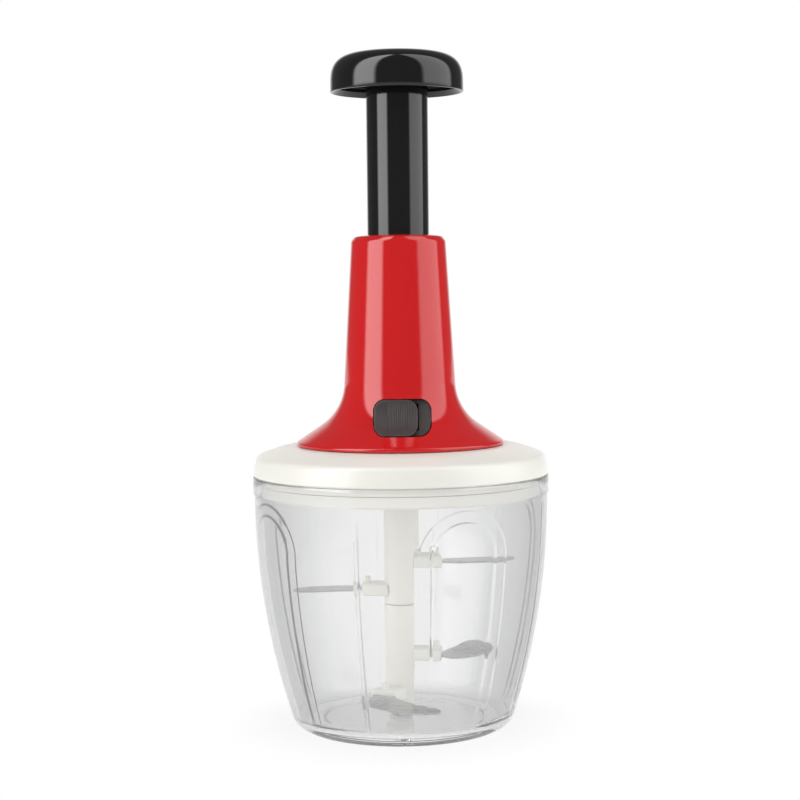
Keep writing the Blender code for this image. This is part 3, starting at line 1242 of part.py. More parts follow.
def make_lock():
    """Lock button, the frame it slides in, the bolt behind it and its screw."""
    slot_low = LOCK_Z - LOCK_SLOT_HEIGHT / 2
    slot_high = LOCK_Z + LOCK_SLOT_HEIGHT / 2
    left = LOCK_CENTRE_X - LOCK_SLOT_WIDTH / 2
    right = LOCK_CENTRE_X + LOCK_SLOT_WIDTH / 2
    width = LOCK_SLOT_WIDTH - SEAT_GAP * 2
    height = LOCK_SLOT_HEIGHT - SEAT_GAP * 2
    corner = LOCK_CORNER - SEAT_GAP
    neck_half = LOCK_NECK_WIDTH / 2
    neck_low = LOCK_Z - LOCK_NECK_HEIGHT / 2
    neck_high = LOCK_Z + LOCK_NECK_HEIGHT / 2
    bolt_front = -FLANGE_RADIUS - SEAT_GAP - LOCK_HOOK_THICKNESS
    bolt_back = -FLANGE_RADIUS - SEAT_GAP
    back_depth = LOCK_FRAME_DROP + LOCK_FRAME_THICKNESS

    frame = flare_sheet("frame_sheet", flare_line(LOCK_FRAME_DROP, slot_low, slot_high),
                        flare_line(back_depth, slot_low, slot_high),
                        left - CUT_OVERRUN, right + CUT_OVERRUN)
    keep_inside(frame, lock_prism("frame_block", width, height, corner, LOCK_CENTRE_X))
    frame = freeze(frame)
    inner = housing_inner_points()
    leg_high = LOCK_Z
    leg_low = LOCK_Z - LOCK_LEG_HEIGHT
    outer = rounded(housing_corners())
    leg_front = -(radius_at(outer, leg_high) - back_depth + LOCK_FRAME_THICKNESS / 2)
    for side, edge in ((1, right - SEAT_GAP), (-1, left + SEAT_GAP)):
        lug_x = edge + side * LOCK_LUG
        reach = radius_at(inner, leg_high)
        lug_front = -math.sqrt(reach ** 2 - lug_x ** 2) + SEAT_GAP
        leg_back = lug_front + LOCK_LEG_WIDTH
        leg_x = sorted((edge, edge - side * LOCK_LEG_WIDTH))
        lug_ends = sorted((edge - side * LOCK_LEG_WIDTH, lug_x))
        join(frame, box("leg", (leg_x[0], leg_front, leg_low), (leg_x[1], leg_back, leg_high)))
        join(frame, box("lug", (lug_ends[0], lug_front, leg_low), (lug_ends[1], leg_back, leg_high)))
    frame = as_part(freeze(frame), "lock_frame", "grey_plastic")
    slit = box("slit", (-neck_half - SLIDE_GAP, -HOUSING_BASE_RADIUS, neck_low - SLIDE_GAP),
               (neck_half + LOCK_TRAVEL + SLIDE_GAP, bolt_back, neck_high + SLIDE_GAP))
    cut(frame, slit)

    pad_left = left + SEAT_GAP
    pad_right = pad_left + LOCK_PAD_WIDTH
    pad_back = LOCK_FRAME_DROP - SEAT_GAP
    pad_front = pad_back - LOCK_PAD_THICKNESS
    pad = flare_sheet("pad_sheet", flare_line(pad_front, slot_low, slot_high),
                      flare_line(pad_back, slot_low, slot_high),
                      pad_left - CUT_OVERRUN, pad_right + CUT_OVERRUN)
    pad_middle = (pad_left + pad_right) / 2
    keep_inside(pad, lock_prism("pad_block", LOCK_PAD_WIDTH, height, corner, pad_middle))
    pad = freeze(pad)
    first = pad_middle + LOCK_GROOVE_SHIFT - LOCK_GROOVE_PITCH * (LOCK_GROOVES - 1) / 2
    grooves = []
    for index in range(LOCK_GROOVES):
        x = first + LOCK_GROOVE_PITCH * index
        grooves.append(flare_sheet("groove", flare_line(pad_front - CUT_OVERRUN, slot_low, slot_high),
                                   flare_line(pad_front + LOCK_GROOVE_DEPTH, slot_low, slot_high),
                                   x - LOCK_GROOVE_WIDTH / 2, x + LOCK_GROOVE_WIDTH / 2))
    cut(pad, group("grooves", grooves))
    neck_back = bolt_front - SEAT_GAP
    join(pad, flare_sheet("neck", flare_line(pad_back - LOCK_PAD_THICKNESS / 2, neck_low, neck_high),
                          [(neck_back, neck_low), (neck_back, neck_high)], -neck_half, neck_half))
    pad = as_part(freeze(pad), "lock_slider", "grey_plastic")

    bolt = box("bolt_plate", (-neck_half, bolt_front, neck_low),
               (neck_half, bolt_back, LOCK_HOOK_Z + LOCK_HOOK_THICKNESS))
    hook_end = -TUBE_RADIUS - SLIDE_GAP * 2
    join(bolt, box("hook", (-neck_half, bolt_front, LOCK_HOOK_Z),
                   (neck_half, hook_end, LOCK_HOOK_Z + LOCK_HOOK_THICKNESS)))
    bolt = as_part(freeze(bolt), "lock_bolt", "white_nylon")

    screw_z = (neck_low + LOCK_Z) / 2
    bore = SMALL_SCREW_SHANK_RADIUS + SEAT_GAP
    thickness = bolt_back - bolt_front
    length = thickness + SEAT_GAP * 2 + SMALL_SCREW_BITE
    seat = Matrix.Translation((0, bolt_back + SEAT_GAP, screw_z)) @ lying()
    for item in (pad, bolt):
        hole = cylinder("lock_hole", bore, -SCREW_END_GAP, length + SCREW_END_GAP)
        cut(item, moved(hole, seat))
    screw = make_screw("screw", SMALL_SCREW_SHANK_RADIUS, SMALL_SCREW_HEAD_RADIUS,
                       SMALL_SCREW_HEAD_HEIGHT, length)
    as_part(moved(freeze(screw), seat), "lock_screw", "plated_steel")


def main():
    """Build every piece of the chopper."""
    clear_scene()
    make_materials()
    make_bowl()
    make_cutter()
    make_lid()
    make_housing()
    make_guide_bush()
    make_drive_base()
    make_head_screws()
    make_spindle()
    make_spring()
    make_plunger()
    make_knob()
    make_lock()


main()
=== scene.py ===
"""Looks of a hand-press vegetable chopper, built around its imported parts.

Metres, +Z up, the front towards -Y. Glossy and clear pieces are rebuilt here as fine
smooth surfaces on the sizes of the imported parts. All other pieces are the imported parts
themselves with a finish put on them.
"""
import json
import logging
import math
from abc import ABC, abstractmethod
from collections.abc import Sequence
from dataclasses import dataclass, field
from enum import Enum
from typing import ClassVar

import bmesh
import bpy
import numpy as np
from mathutils import Euler, Matrix, Vector


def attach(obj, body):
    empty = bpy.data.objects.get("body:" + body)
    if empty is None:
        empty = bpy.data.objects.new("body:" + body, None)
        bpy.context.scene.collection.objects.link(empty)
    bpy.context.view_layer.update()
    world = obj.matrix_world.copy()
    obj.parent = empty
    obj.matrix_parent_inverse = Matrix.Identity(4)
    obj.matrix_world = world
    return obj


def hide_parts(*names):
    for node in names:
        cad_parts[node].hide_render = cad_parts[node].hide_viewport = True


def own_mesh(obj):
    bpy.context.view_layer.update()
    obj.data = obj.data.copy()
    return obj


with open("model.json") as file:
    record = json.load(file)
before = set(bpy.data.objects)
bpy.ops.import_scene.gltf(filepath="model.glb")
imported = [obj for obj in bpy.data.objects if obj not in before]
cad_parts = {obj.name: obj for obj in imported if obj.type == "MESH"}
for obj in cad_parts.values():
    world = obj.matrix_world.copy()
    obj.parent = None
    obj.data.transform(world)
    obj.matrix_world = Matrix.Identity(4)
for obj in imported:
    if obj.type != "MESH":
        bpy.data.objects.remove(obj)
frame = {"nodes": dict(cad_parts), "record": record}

LOG = logging.getLogger("chopper")

Outline = list[tuple[float, float]]
Colour = tuple[float, float, float]

ARC_SAG = 0.00001
SAG_SHARE = 0.1
REACH_SHARE = 0.49
BROKEN_EDGE = 0.0003
WELD_DISTANCE = 0.000002
SHARP_ANGLE = math.radians(32)
FINE_SEGMENTS = 192
EDGE_STEPS = 3
CORNER_STEPS = 14


class Slot(str, Enum):
    """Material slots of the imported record."""

    CLEAR = "clear_plastic"
    CREAM = "cream_plastic"
    RED = "red_plastic"
    BLACK = "black_plastic"
    GREY = "grey_plastic"
    NYLON = "white_nylon"
    BLADE = "blade_steel"
    PLATED = "plated_steel"
    SPRING = "spring_steel"
    BRASS = "bearing_brass"
    SILICONE = "soft_silicone"


class Body(str, Enum):
    """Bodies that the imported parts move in."""

    BOWL = "bowl"
    CUTTER = "cutter"
    HEAD = "head"
    PLUNGER = "plunger"
    SPINDLE = "spindle"
    LOCK = "lock"


@dataclass(frozen=True)
class Corner:
    """One corner of a turned piece's outline."""

    radius: float
    height: float
    fillet: float = 0.0


def rounded(corners: Sequence[Corner]) -> Outline:
    """Turn an outline's corners into points, with each fillet as a fine arc.

    Args:
        corners: Corners in order, down the outer side of the piece.

    Returns:
        The points as (radius, height) pairs.
    """
    points: list[Vector] = []
    for index, corner in enumerate(corners):
        here = Vector((corner.radius, corner.height))
        if corner.fillet == 0:
            points.append(here)
            continue
        last = corners[index - 1]
        following = corners[(index + 1) % len(corners)]
        before = Vector((last.radius, last.height)) - here
        after = Vector((following.radius, following.height)) - here
        half = before.angle(after) / 2
        reach = min(corner.fillet / math.tan(half), min(before.length, after.length) * REACH_SHARE)
        middle = (before.normalized() + after.normalized()).normalized()
        centre = here + middle * reach / math.cos(half)
        start = here + before.normalized() * reach - centre
        stop = here + after.normalized() * reach - centre
        sweep = start.angle_signed(stop)
        step = 2 * math.acos(1 - min(ARC_SAG / corner.fillet, SAG_SHARE))
        count = math.ceil(abs(sweep) / step)
        for turn in range(count + 1):
            points.append(centre + Matrix.Rotation(-sweep * turn / count, 2) @ start)
    return [(point.x, point.y) for point in points]


def resampled(points: Outline, spacing: float) -> Outline:
    """Add points along an outline's long straight runs.

    Args:
        points: Outline to refine.
        spacing: Longest run that stays undivided.

    Returns:
        The refined outline.
    """
    fine: Outline = []
    for (x0, y0), (x1, y1) in zip(points, points[1:]):
        count = max(1, math.ceil(math.hypot(x1 - x0, y1 - y0) / spacing))
        fine += [(x0 + (x1 - x0) * i / count, y0 + (y1 - y0) * i / count) for i in range(count)]
    fine.append(points[-1])
    return fine


def eased(share: np.ndarray) -> np.ndarray:
    """Ease a share in and out between 0 and 1.

    Args:
        share: The plain share, which may lie outside.

    Returns:
        The eased share.
    """
    share = np.clip(share, 0, 1)
    return share ** 2 * (3 - 2 * share)


def skin(name: str, rows: Sequence[np.ndarray], closed: bool) -> bpy.types.Object:
    """Skin rows of points into a smooth mesh.

    Args:
        name: Name of the new object.
        rows: Rows of points. A row of one point is a pole.
        closed: Join the last row back to the first.

    Returns:
        The new object, its normals facing outwards.
    """
    starts = np.cumsum([0] + [len(row) for row in rows])
    faces: list[tuple[int, ...]] = []
    pairs = list(zip(range(len(rows)), range(1, len(rows))))
    if closed:
        pairs.append((len(rows) - 1, 0))
    for first, second in pairs:
        a, b = int(starts[first]), int(starts[second])
        count = max(len(rows[first]), len(rows[second]))
        for i in range(count):
            j = (i + 1) % count
            if len(rows[first]) == 1:
                faces.append((a, b + i, b + j))
            elif len(rows[second]) == 1:
                faces.append((a + i, b, a + j))
            else:
                faces.append((a + i, b + i, b + j, a + j))
    mesh = bpy.data.meshes.new(name)
    mesh.from_pydata(np.concatenate(rows).tolist(), [], faces)
    return smoothed(linked(name, mesh))


def linked(name: str, data: bpy.types.ID) -> bpy.types.Object:
    """Put a mesh, a lamp or a camera in the scene as a new object.

    Args:
        name: Name of the object and its data.
        data: The data.

    Returns:
        The new object.
    """
    item = bpy.data.objects.new(name, data)
    data.name = name
    bpy.context.scene.collection.objects.link(item)
    return item


def final_mesh(piece: bpy.types.Object) -> bpy.types.Mesh:
    """Make a plain mesh of a shape with its modifiers applied.

    Args:
        piece: The shape.

    Returns:
        The new mesh.
    """
    graph = bpy.context.evaluated_depsgraph_get()
    graph.update()
    return bpy.data.meshes.new_from_object(piece.evaluated_get(graph))


def smoothed(piece: bpy.types.Object) -> bpy.types.Object:
    """Face an object's mesh outwards and shade it smooth between its sharp edges.

    Args:
        piece: Object with a mesh.

    Returns:
        The same object.
    """
    shape = bmesh.new()
    shape.from_mesh(piece.data)
    bmesh.ops.remove_doubles(shape, verts=shape.verts, dist=WELD_DISTANCE)
    bmesh.ops.recalc_face_normals(shape, faces=shape.faces)
    shape.to_mesh(piece.data)
    shape.free()
    piece.data.shade_smooth()
    piece.data.set_sharp_from_angle(angle=SHARP_ANGLE)
    return piece


def level_row(radius: np.ndarray | float, height: float, angles: np.ndarray) -> np.ndarray:
    """Lay points round the press axis at one height.

    Args:
        radius: Distance of the points from the axis. A radius of zero gives one point.
        height: Their height.
        angles: Their angles.

    Returns:
        The points.
    """
    if np.max(radius) < WELD_DISTANCE:
        return np.array([[0.0, 0.0, height]])
    level = np.full(len(angles), height)
    return np.stack([radius * np.cos(angles), radius * np.sin(angles), level], axis=1)


def turned(name: str, points: Outline, closed: bool, segments: int = FINE_SEGMENTS) -> bpy.types.Object:
    """Turn an outline about the press axis.

    Args:
        name: Name of the new object.
        points: Outline as (radius, height) pairs.
        closed: Join the outline's end to its start, as for a ring.
        segments: Number of steps round the axis.

    Returns:
        The new object.
    """
    angles = np.arange(segments) * math.tau / segments
    return skin(name, [level_row(radius, height, angles) for radius, height in points], closed)


def capped(rows: list[np.ndarray]) -> list[np.ndarray]:
    """Close rows of points with a pole in the middle of each end.

    Args:
        rows: Rows of points.

    Returns:
        The rows with their poles.
    """
    first, last = (row.mean(axis=0, keepdims=True) for row in (rows[0], rows[-1]))
    return [first, *rows, last]


def prism(name: str, ring: Sequence[tuple[float, float]], near: float, far: float) -> bpy.types.Object:
    """Make a block from an outline in X and Z that runs along Y.

    Args:
        name: Name of the new object.
        ring: Outline as (x, z) pairs.
        near: Lowest y.
        far: Highest y.

    Returns:
        The new object.
    """
    rows = [np.array([(x, y, z) for x, z in ring]) for y in (near, far)]
    return skin(name, capped(rows), closed=False)


def combined(piece: bpy.types.Object, other: bpy.types.Object, operation: str) -> bpy.types.Object:
    """Cut or join two shapes and keep the result as a plain mesh.

    Args:
        piece: Shape that is kept.
        other: Shape that is used up.
        operation: Boolean operation.

    Returns:
        The first object with its new mesh.
    """
    step = piece.modifiers.new("step", 'BOOLEAN')
    step.operation = operation
    step.solver = 'EXACT'
    step.object = other
    mesh = final_mesh(piece)
    piece.modifiers.clear()
    piece.data = mesh
    bpy.data.objects.remove(other, do_unlink=True)
    return smoothed(piece)


def fused(name: str, items: Sequence[bpy.types.Object]) -> bpy.types.Object:
    """Put several shapes into one mesh.

    Args:
        name: Name of the new object.
        items: Shapes that are used up.

    Returns:
        The new object.
    """
    shape = bmesh.new()
    for item in items:
        mesh = final_mesh(item)
        mesh.transform(item.matrix_world)
        shape.from_mesh(mesh)
        bpy.data.objects.remove(item, do_unlink=True)
    mesh = bpy.data.meshes.new(name)
    shape.to_mesh(mesh)
    shape.free()
    piece = linked(name, mesh)
    piece.data.shade_smooth()
    piece.data.set_sharp_from_angle(angle=SHARP_ANGLE)
    return piece


def soft_box(low: Sequence[float], high: Sequence[float], edge: float) -> bpy.types.Object:
    """Make a box with rounded edges.

    Args:
        low: Lowest corner.
        high: Highest corner.
        edge: Radius of its edges.

    Returns:
        The new object.
    """
    shape = bmesh.new()
    bmesh.ops.create_cube(shape, size=1)
    mesh = bpy.data.meshes.new("soft_box")
    shape.to_mesh(mesh)
    shape.free()
    size = Vector(high) - Vector(low)
    middle = (Vector(high) + Vector(low)) / 2
    mesh.transform(Matrix.Translation(middle) @ Matrix.Diagonal((*size, 1)))
    box = linked("soft_box", mesh)
    step = box.modifiers.new("edges", 'BEVEL')
    step.width = edge
    step.segments = EDGE_STEPS
    return box


class NodeSheet:
    """A node tree with short ways to add and wire its nodes."""

    def __init__(self, tree: bpy.types.NodeTree) -> None:
        """Start on a tree.

        Args:
            tree: Tree of a material, a world or a group.
        """
        self.tree = tree

    def add(self, kind: str, inputs: dict | None = None, **settings: object) -> bpy.types.Node:
        """Add a node.

        Args:
            kind: Type name of the node.
            inputs: Values or source sockets by input name or number.
            settings: Properties of the node.

        Returns:
            The new node.
        """
        node = self.tree.nodes.new(kind)
        for name, value in settings.items():
            setattr(node, name, value)
        for key, value in (inputs or {}).items():
            self.put(node.inputs[key], value)
        return node

    def put(self, target: bpy.types.NodeSocket, value: object) -> None:
        """Wire a socket to an input, or set its value.

        Args:
            target: Input socket.
            value: Source socket or plain value.
        """
        if isinstance(value, bpy.types.NodeSocket):
            self.tree.links.new(value, target)
        else:
            target.default_value = value

    def math(self, operation: str, *values: object) -> bpy.types.NodeSocket:
        """Add a sum.

        Args:
            operation: Kind of sum.
            values: Values or source sockets.

        Returns:
            The result's socket.
        """
        node = self.add("ShaderNodeMath", dict(enumerate(values)), operation=operation)
        return node.outputs[0]

    def mix(self, share: object, first: object, second: object) -> bpy.types.NodeSocket:
        """Mix two numbers.

        Args:
            share: How much of the second number is taken.
            first: First number or its socket.
            second: Second number or its socket.

        Returns:
            The result's socket.
        """
        return self.add("ShaderNodeMix", {0: share, 2: first, 3: second}).outputs[0]

    def ramp(self, value: object, low: float, high: float, start: float,
             end: float) -> bpy.types.NodeSocket:
        """Map a range smoothly onto another.

        Args:
            value: Value or source socket.
            low: Value that gives start.
            high: Value that gives end.
            start: Result at low.
            end: Result at high.

        Returns:
            The result's socket.
        """
        numbers = {"Value": value, "From Min": low, "From Max": high, "To Min": start, "To Max": end}
        return self.add("ShaderNodeMapRange", numbers, interpolation_type='SMOOTHSTEP').outputs["Result"]


@dataclass
class GroupSocket:
    """One socket on a node group."""

    name: str
    kind: str
    default: float | Colour | None = None


class EffectGroup(ABC):
    """A surface effect that several finishes share, as one node group."""

    title: str
    sockets_in: tuple[GroupSocket, ...]
    sockets_out: tuple[GroupSocket, ...]

    def tree(self) -> bpy.types.NodeTree:
        """Make the group, or find it if it was made before.

        Returns:
            The group's node tree.
        """
        made = bpy.data.node_groups.get(self.title)
        if made is not None:
            return made
        tree = bpy.data.node_groups.new(self.title, "ShaderNodeTree")
        for side, sockets in (('INPUT', self.sockets_in), ('OUTPUT', self.sockets_out)):
            for item in sockets:
                socket = tree.interface.new_socket(item.name, in_out=side, socket_type=item.kind)
                if item.default is not None:
                    socket.default_value = item.default
        sheet = NodeSheet(tree)
        inlet = sheet.add("NodeGroupInput")
        outlet = sheet.add("NodeGroupOutput")
        self.wire(sheet, inlet.outputs, outlet.inputs)
        return tree

    @abstractmethod
    def wire(self, sheet: NodeSheet, inlet: object, outlet: object) -> None:
        """Build the effect between the group's sockets.

        Args:
            sheet: The group's nodes.
            inlet: Sockets that bring values in.
            outlet: Sockets that take results out.
        """


class MouldGrain(EffectGroup):
    """Very fine relief of a moulded or ground surface."""

    title = "mould_grain"
    sockets_in = (
        GroupSocket("Scale", "NodeSocketFloat", 600.0),
        GroupSocket("Depth", "NodeSocketFloat", 0.00002),
    )
    sockets_out = (GroupSocket("Normal", "NodeSocketVector"),)
    broad_share = 0.06
    swell = 2.5

    def wire(self, sheet: NodeSheet, inlet: object, outlet: object) -> None:
        """Build the relief from two sizes of noise.

        Args:
            sheet: The group's nodes.
            inlet: Sockets that bring values in.
            outlet: Sockets that take results out.
        """
        place = sheet.add("ShaderNodeTexCoord").outputs["Object"]
        fine = sheet.add("ShaderNodeTexNoise", {"Vector": place, "Scale": inlet["Scale"], "Detail": 2.0})
        broad_scale = sheet.math('MULTIPLY', inlet["Scale"], self.broad_share)
        broad = sheet.add("ShaderNodeTexNoise", {"Vector": place, "Scale": broad_scale, "Detail": 1.0})
        swell = sheet.math('MULTIPLY', broad.outputs["Fac"], self.swell)
        height = sheet.math('ADD', fine.outputs["Fac"], swell)
        bump = sheet.add("ShaderNodeBump", {"Height": height, "Distance": inlet["Depth"], "Strength": 1.0})
        sheet.put(outlet["Normal"], bump.outputs["Normal"])


class Handling(EffectGroup):
    """Slight changes of gloss where a surface was wiped and touched."""

    title = "handling"
    sockets_in = (
        GroupSocket("Roughness", "NodeSocketFloat", 0.2),
        GroupSocket("Change", "NodeSocketFloat", 0.04),
        GroupSocket("Scale", "NodeSocketFloat", 40.0),
    )
    sockets_out = (GroupSocket("Roughness", "NodeSocketFloat"),)
    lean = (0.3, 0.5, 0.2)
    squeeze = (1.0, 1.0, 0.45)
    touched = (0.45, 0.72)

    def wire(self, sheet: NodeSheet, inlet: object, outlet: object) -> None:
        """Build the gloss change from stretched noise.

        Args:
            sheet: The group's nodes.
            inlet: Sockets that bring values in.
            outlet: Sockets that take results out.
        """
        place = sheet.add("ShaderNodeTexCoord").outputs["Object"]
        lean = sheet.add("ShaderNodeMapping", {"Vector": place, "Rotation": self.lean,
                                               "Scale": self.squeeze})
        noise = sheet.add("ShaderNodeTexNoise", {"Vector": lean.outputs[0], "Scale": inlet["Scale"],
                                                 "Detail": 4.0, "Distortion": 0.6})
        patch = sheet.ramp(noise.outputs["Fac"], *self.touched, 0.0, 1.0)
        change = sheet.math('MULTIPLY', patch, inlet["Change"])
        sheet.put(outlet["Roughness"], sheet.math('ADD', inlet["Roughness"], change))


class DrawnLines(EffectGroup):
    """Fine lines along one way of a ground, turned or drawn metal."""

    title = "drawn_lines"
    sockets_in = (
        GroupSocket("Stretch", "NodeSocketVector", (1.0, 1.0, 1.0)),
        GroupSocket("Depth", "NodeSocketFloat", 0.000004),
        GroupSocket("Roughness", "NodeSocketFloat", 0.3),
    )
    sockets_out = (
        GroupSocket("Normal", "NodeSocketVector"),
        GroupSocket("Roughness", "NodeSocketFloat"),
    )
    spread = (0.3, 0.7)
    gloss_change = 0.05

    def wire(self, sheet: NodeSheet, inlet: object, outlet: object) -> None:
        """Build the lines from noise that is stretched one way.

        Args:
            sheet: The group's nodes.
            inlet: Sockets that bring values in.
            outlet: Sockets that take results out.
        """
        place = sheet.add("ShaderNodeTexCoord").outputs["Object"]
        drawn = sheet.add("ShaderNodeVectorMath", {0: place, 1: inlet["Stretch"]}, operation='MULTIPLY')
        lines = sheet.add("ShaderNodeTexNoise", {"Vector": drawn.outputs[0], "Scale": 1.0, "Detail": 3.0})
        bump = sheet.add("ShaderNodeBump", {"Height": lines.outputs["Fac"], "Distance": inlet["Depth"]})
        sheet.put(outlet["Normal"], bump.outputs["Normal"])
        change = sheet.ramp(lines.outputs["Fac"], *self.spread, -self.gloss_change, self.gloss_change)
        sheet.put(outlet["Roughness"], sheet.math('ADD', inlet["Roughness"], change))


class TintDrift(EffectGroup):
    """Slight drift of a colour over a moulded piece."""

    title = "tint_drift"
    sockets_in = (
        GroupSocket("Colour", "NodeSocketColor", (0.5, 0.5, 0.5, 1.0)),
        GroupSocket("Amount", "NodeSocketFloat", 0.04),
    )
    sockets_out = (GroupSocket("Colour", "NodeSocketColor"),)
    scale = 22.0

    def wire(self, sheet: NodeSheet, inlet: object, outlet: object) -> None:
        """Build the drift from broad noise.

        Args:
            sheet: The group's nodes.
            inlet: Sockets that bring values in.
            outlet: Sockets that take results out.
        """
        place = sheet.add("ShaderNodeTexCoord").outputs["Object"]
        noise = sheet.add("ShaderNodeTexNoise", {"Vector": place, "Scale": self.scale, "Detail": 2.0})
        away = sheet.math('SUBTRACT', noise.outputs["Fac"], 0.5)
        change = sheet.math('MULTIPLY', away, inlet["Amount"])
        value = sheet.math('ADD', change, 1.0)
        shaded = sheet.add("ShaderNodeHueSaturation", {"Color": inlet["Colour"], "Value": value})
        sheet.put(outlet["Colour"], shaded.outputs["Color"])


@dataclass(frozen=True)
class Finish(ABC):
    """What a material looks like."""

    slot: Slot
    colour: Colour
    roughness: float

    def material(self) -> bpy.types.Material:
        """Make the material, or find it if it was made before.

        Returns:
            The material.
        """
        name = self.slot.value + "_look"
        made = bpy.data.materials.get(name)
        if made is not None:
            return made
        material = bpy.data.materials.new(name)
        material.use_nodes = True
        sheet = NodeSheet(material.node_tree)
        shader = material.node_tree.nodes["Principled BSDF"]
        shader.inputs["Base Color"].default_value = (*self.colour, 1.0)
        shader.inputs["Roughness"].default_value = self.roughness
        self.detail(sheet, shader)
        return material

    @abstractmethod
    def detail(self, sheet: NodeSheet, shader: bpy.types.Node) -> None:
        """Wire what is special to this finish.

        Args:
            sheet: The material's nodes.
            shader: The material's Principled shader.
        """


def add_group(sheet: NodeSheet, effect: EffectGroup, **inputs: object) -> bpy.types.Node:
    """Add a shared effect to a material.

    Args:
        sheet: The material's nodes.
        effect: The effect.
        inputs: Values by socket name.

    Returns:
        The group's node.
    """
    node = sheet.add("ShaderNodeGroup", node_tree=effect.tree())
    for name, value in inputs.items():
        sheet.put(node.inputs[name.replace("_", " ")], value)
    return node


@dataclass(frozen=True)
class MouldedPlastic(Finish):
    """Opaque moulded plastic, from satin to glossy."""

    ior: float = 1.49
    grain_scale: float = 500.0
    grain_depth: float = 0.0000015
    gloss_change: float = 0.03
    drift: float = 0.03
    glow: float = 0.0
    glow_depth: float = 0.002
    glow_colour: Colour = (1.0, 0.8, 0.6)

    def detail(self, sheet: NodeSheet, shader: bpy.types.Node) -> None:
        """Wire grain, gloss change and colour drift.

        Args:
            sheet: The material's nodes.
            shader: The material's Principled shader.
        """
        grain = add_group(sheet, MouldGrain(), Scale=self.grain_scale, Depth=self.grain_depth)
        gloss = add_group(sheet, Handling(), Roughness=self.roughness, Change=self.gloss_change)
        tint = add_group(sheet, TintDrift(), Colour=(*self.colour, 1.0), Amount=self.drift)
        sheet.put(shader.inputs["Normal"], grain.outputs["Normal"])
        sheet.put(shader.inputs["Roughness"], gloss.outputs["Roughness"])
        sheet.put(shader.inputs["Base Color"], tint.outputs["Colour"])
        shader.inputs["IOR"].default_value = self.ior
        if self.glow > 0:
            shader.inputs["Subsurface Weight"].default_value = self.glow
            shader.inputs["Subsurface Scale"].default_value = self.glow_depth
            shader.inputs["Subsurface Radius"].default_value = self.glow_colour


@dataclass(frozen=True)
class ClearPlastic(Finish):
    """Clear moulded plastic that light passes through without a hard shadow, with painted shade along its
    grazing edges.
    """

    ior: float = 1.53
    # Grey that the base colour turns to where the surface is seen edge-on: painted shade along the
    # silhouettes
    edge_shade_colour: Colour = (0.38, 0.385, 0.39)
    shadow_tint: float = 0.99
    clearness: float = 0.92
    grain_scale: float = 90.0
    grain_depth: float = 0.000002
    gloss_change: float = 0.02

    def detail(self, sheet: NodeSheet, shader: bpy.types.Node) -> None:
        """Wire the refraction, the soft shadow and a painted shade that darkens the base colour towards
        grazing edges.

        Args:
            sheet: The material's nodes.
            shader: The material's Principled shader.
        """
        grain = add_group(sheet, MouldGrain(), Scale=self.grain_scale, Depth=self.grain_depth)
        gloss = add_group(sheet, Handling(), Roughness=self.roughness, Change=self.gloss_change)
        sheet.put(shader.inputs["Normal"], grain.outputs["Normal"])
        sheet.put(shader.inputs["Roughness"], gloss.outputs["Roughness"])
        # Painted shade: the base colour darkens towards the edge colour at grazing angles, standing in for
        # the darker lines along the bowl's outline
        facing = sheet.add("ShaderNodeLayerWeight", {"Blend": 0.5}).outputs["Facing"]
        tint = sheet.add("ShaderNodeMix", {0: facing, 6: (*self.colour, 1.0), 7: (*self.edge_shade_colour, 1.0)},
                         data_type='RGBA').outputs[2]
        sheet.put(shader.inputs["Base Color"], tint)
        shader.inputs["IOR"].default_value = self.ior
        shader.inputs["Transmission Weight"].default_value = self.clearness
        path = sheet.add("ShaderNodeLightPath").outputs
        clear = sheet.add("ShaderNodeBsdfTransparent", {"Color": (*[self.shadow_tint] * 3, 1.0)})
        passing = sheet.math('MAXIMUM', path["Is Shadow Ray"], path["Is Diffuse Ray"])
        mix = sheet.add("ShaderNodeMixShader", {0: passing, 1: shader.outputs[0], 2: clear.outputs[0]})
        outlet = sheet.tree.nodes["Material Output"]
        sheet.put(outlet.inputs["Surface"], mix.outputs[0])


@dataclass(frozen=True)
class LinedMetal(Finish):
    """Ground, turned, drawn or plated metal."""

    stretch: Colour = (900.0, 900.0, 60.0)
    line_depth: float = 0.000004
    drift: float = 0.06

    def detail(self, sheet: NodeSheet, shader: bpy.types.Node) -> None:
        """Wire the lines and their gloss.

        Args:
            sheet: The material's nodes.
            shader: The material's Principled shader.
        """
        lines = add_group(sheet, DrawnLines(), Stretch=self.stretch, Depth=self.line_depth,
                          Roughness=self.roughness)
        tint = add_group(sheet, TintDrift(), Colour=(*self.colour, 1.0), Amount=self.drift)
        shader.inputs["Metallic"].default_value = 1.0
        sheet.put(shader.inputs["Base Color"], tint.outputs["Colour"])
        sheet.put(shader.inputs["Normal"], lines.outputs["Normal"])
        sheet.put(shader.inputs["Roughness"], lines.outputs["Roughness"])


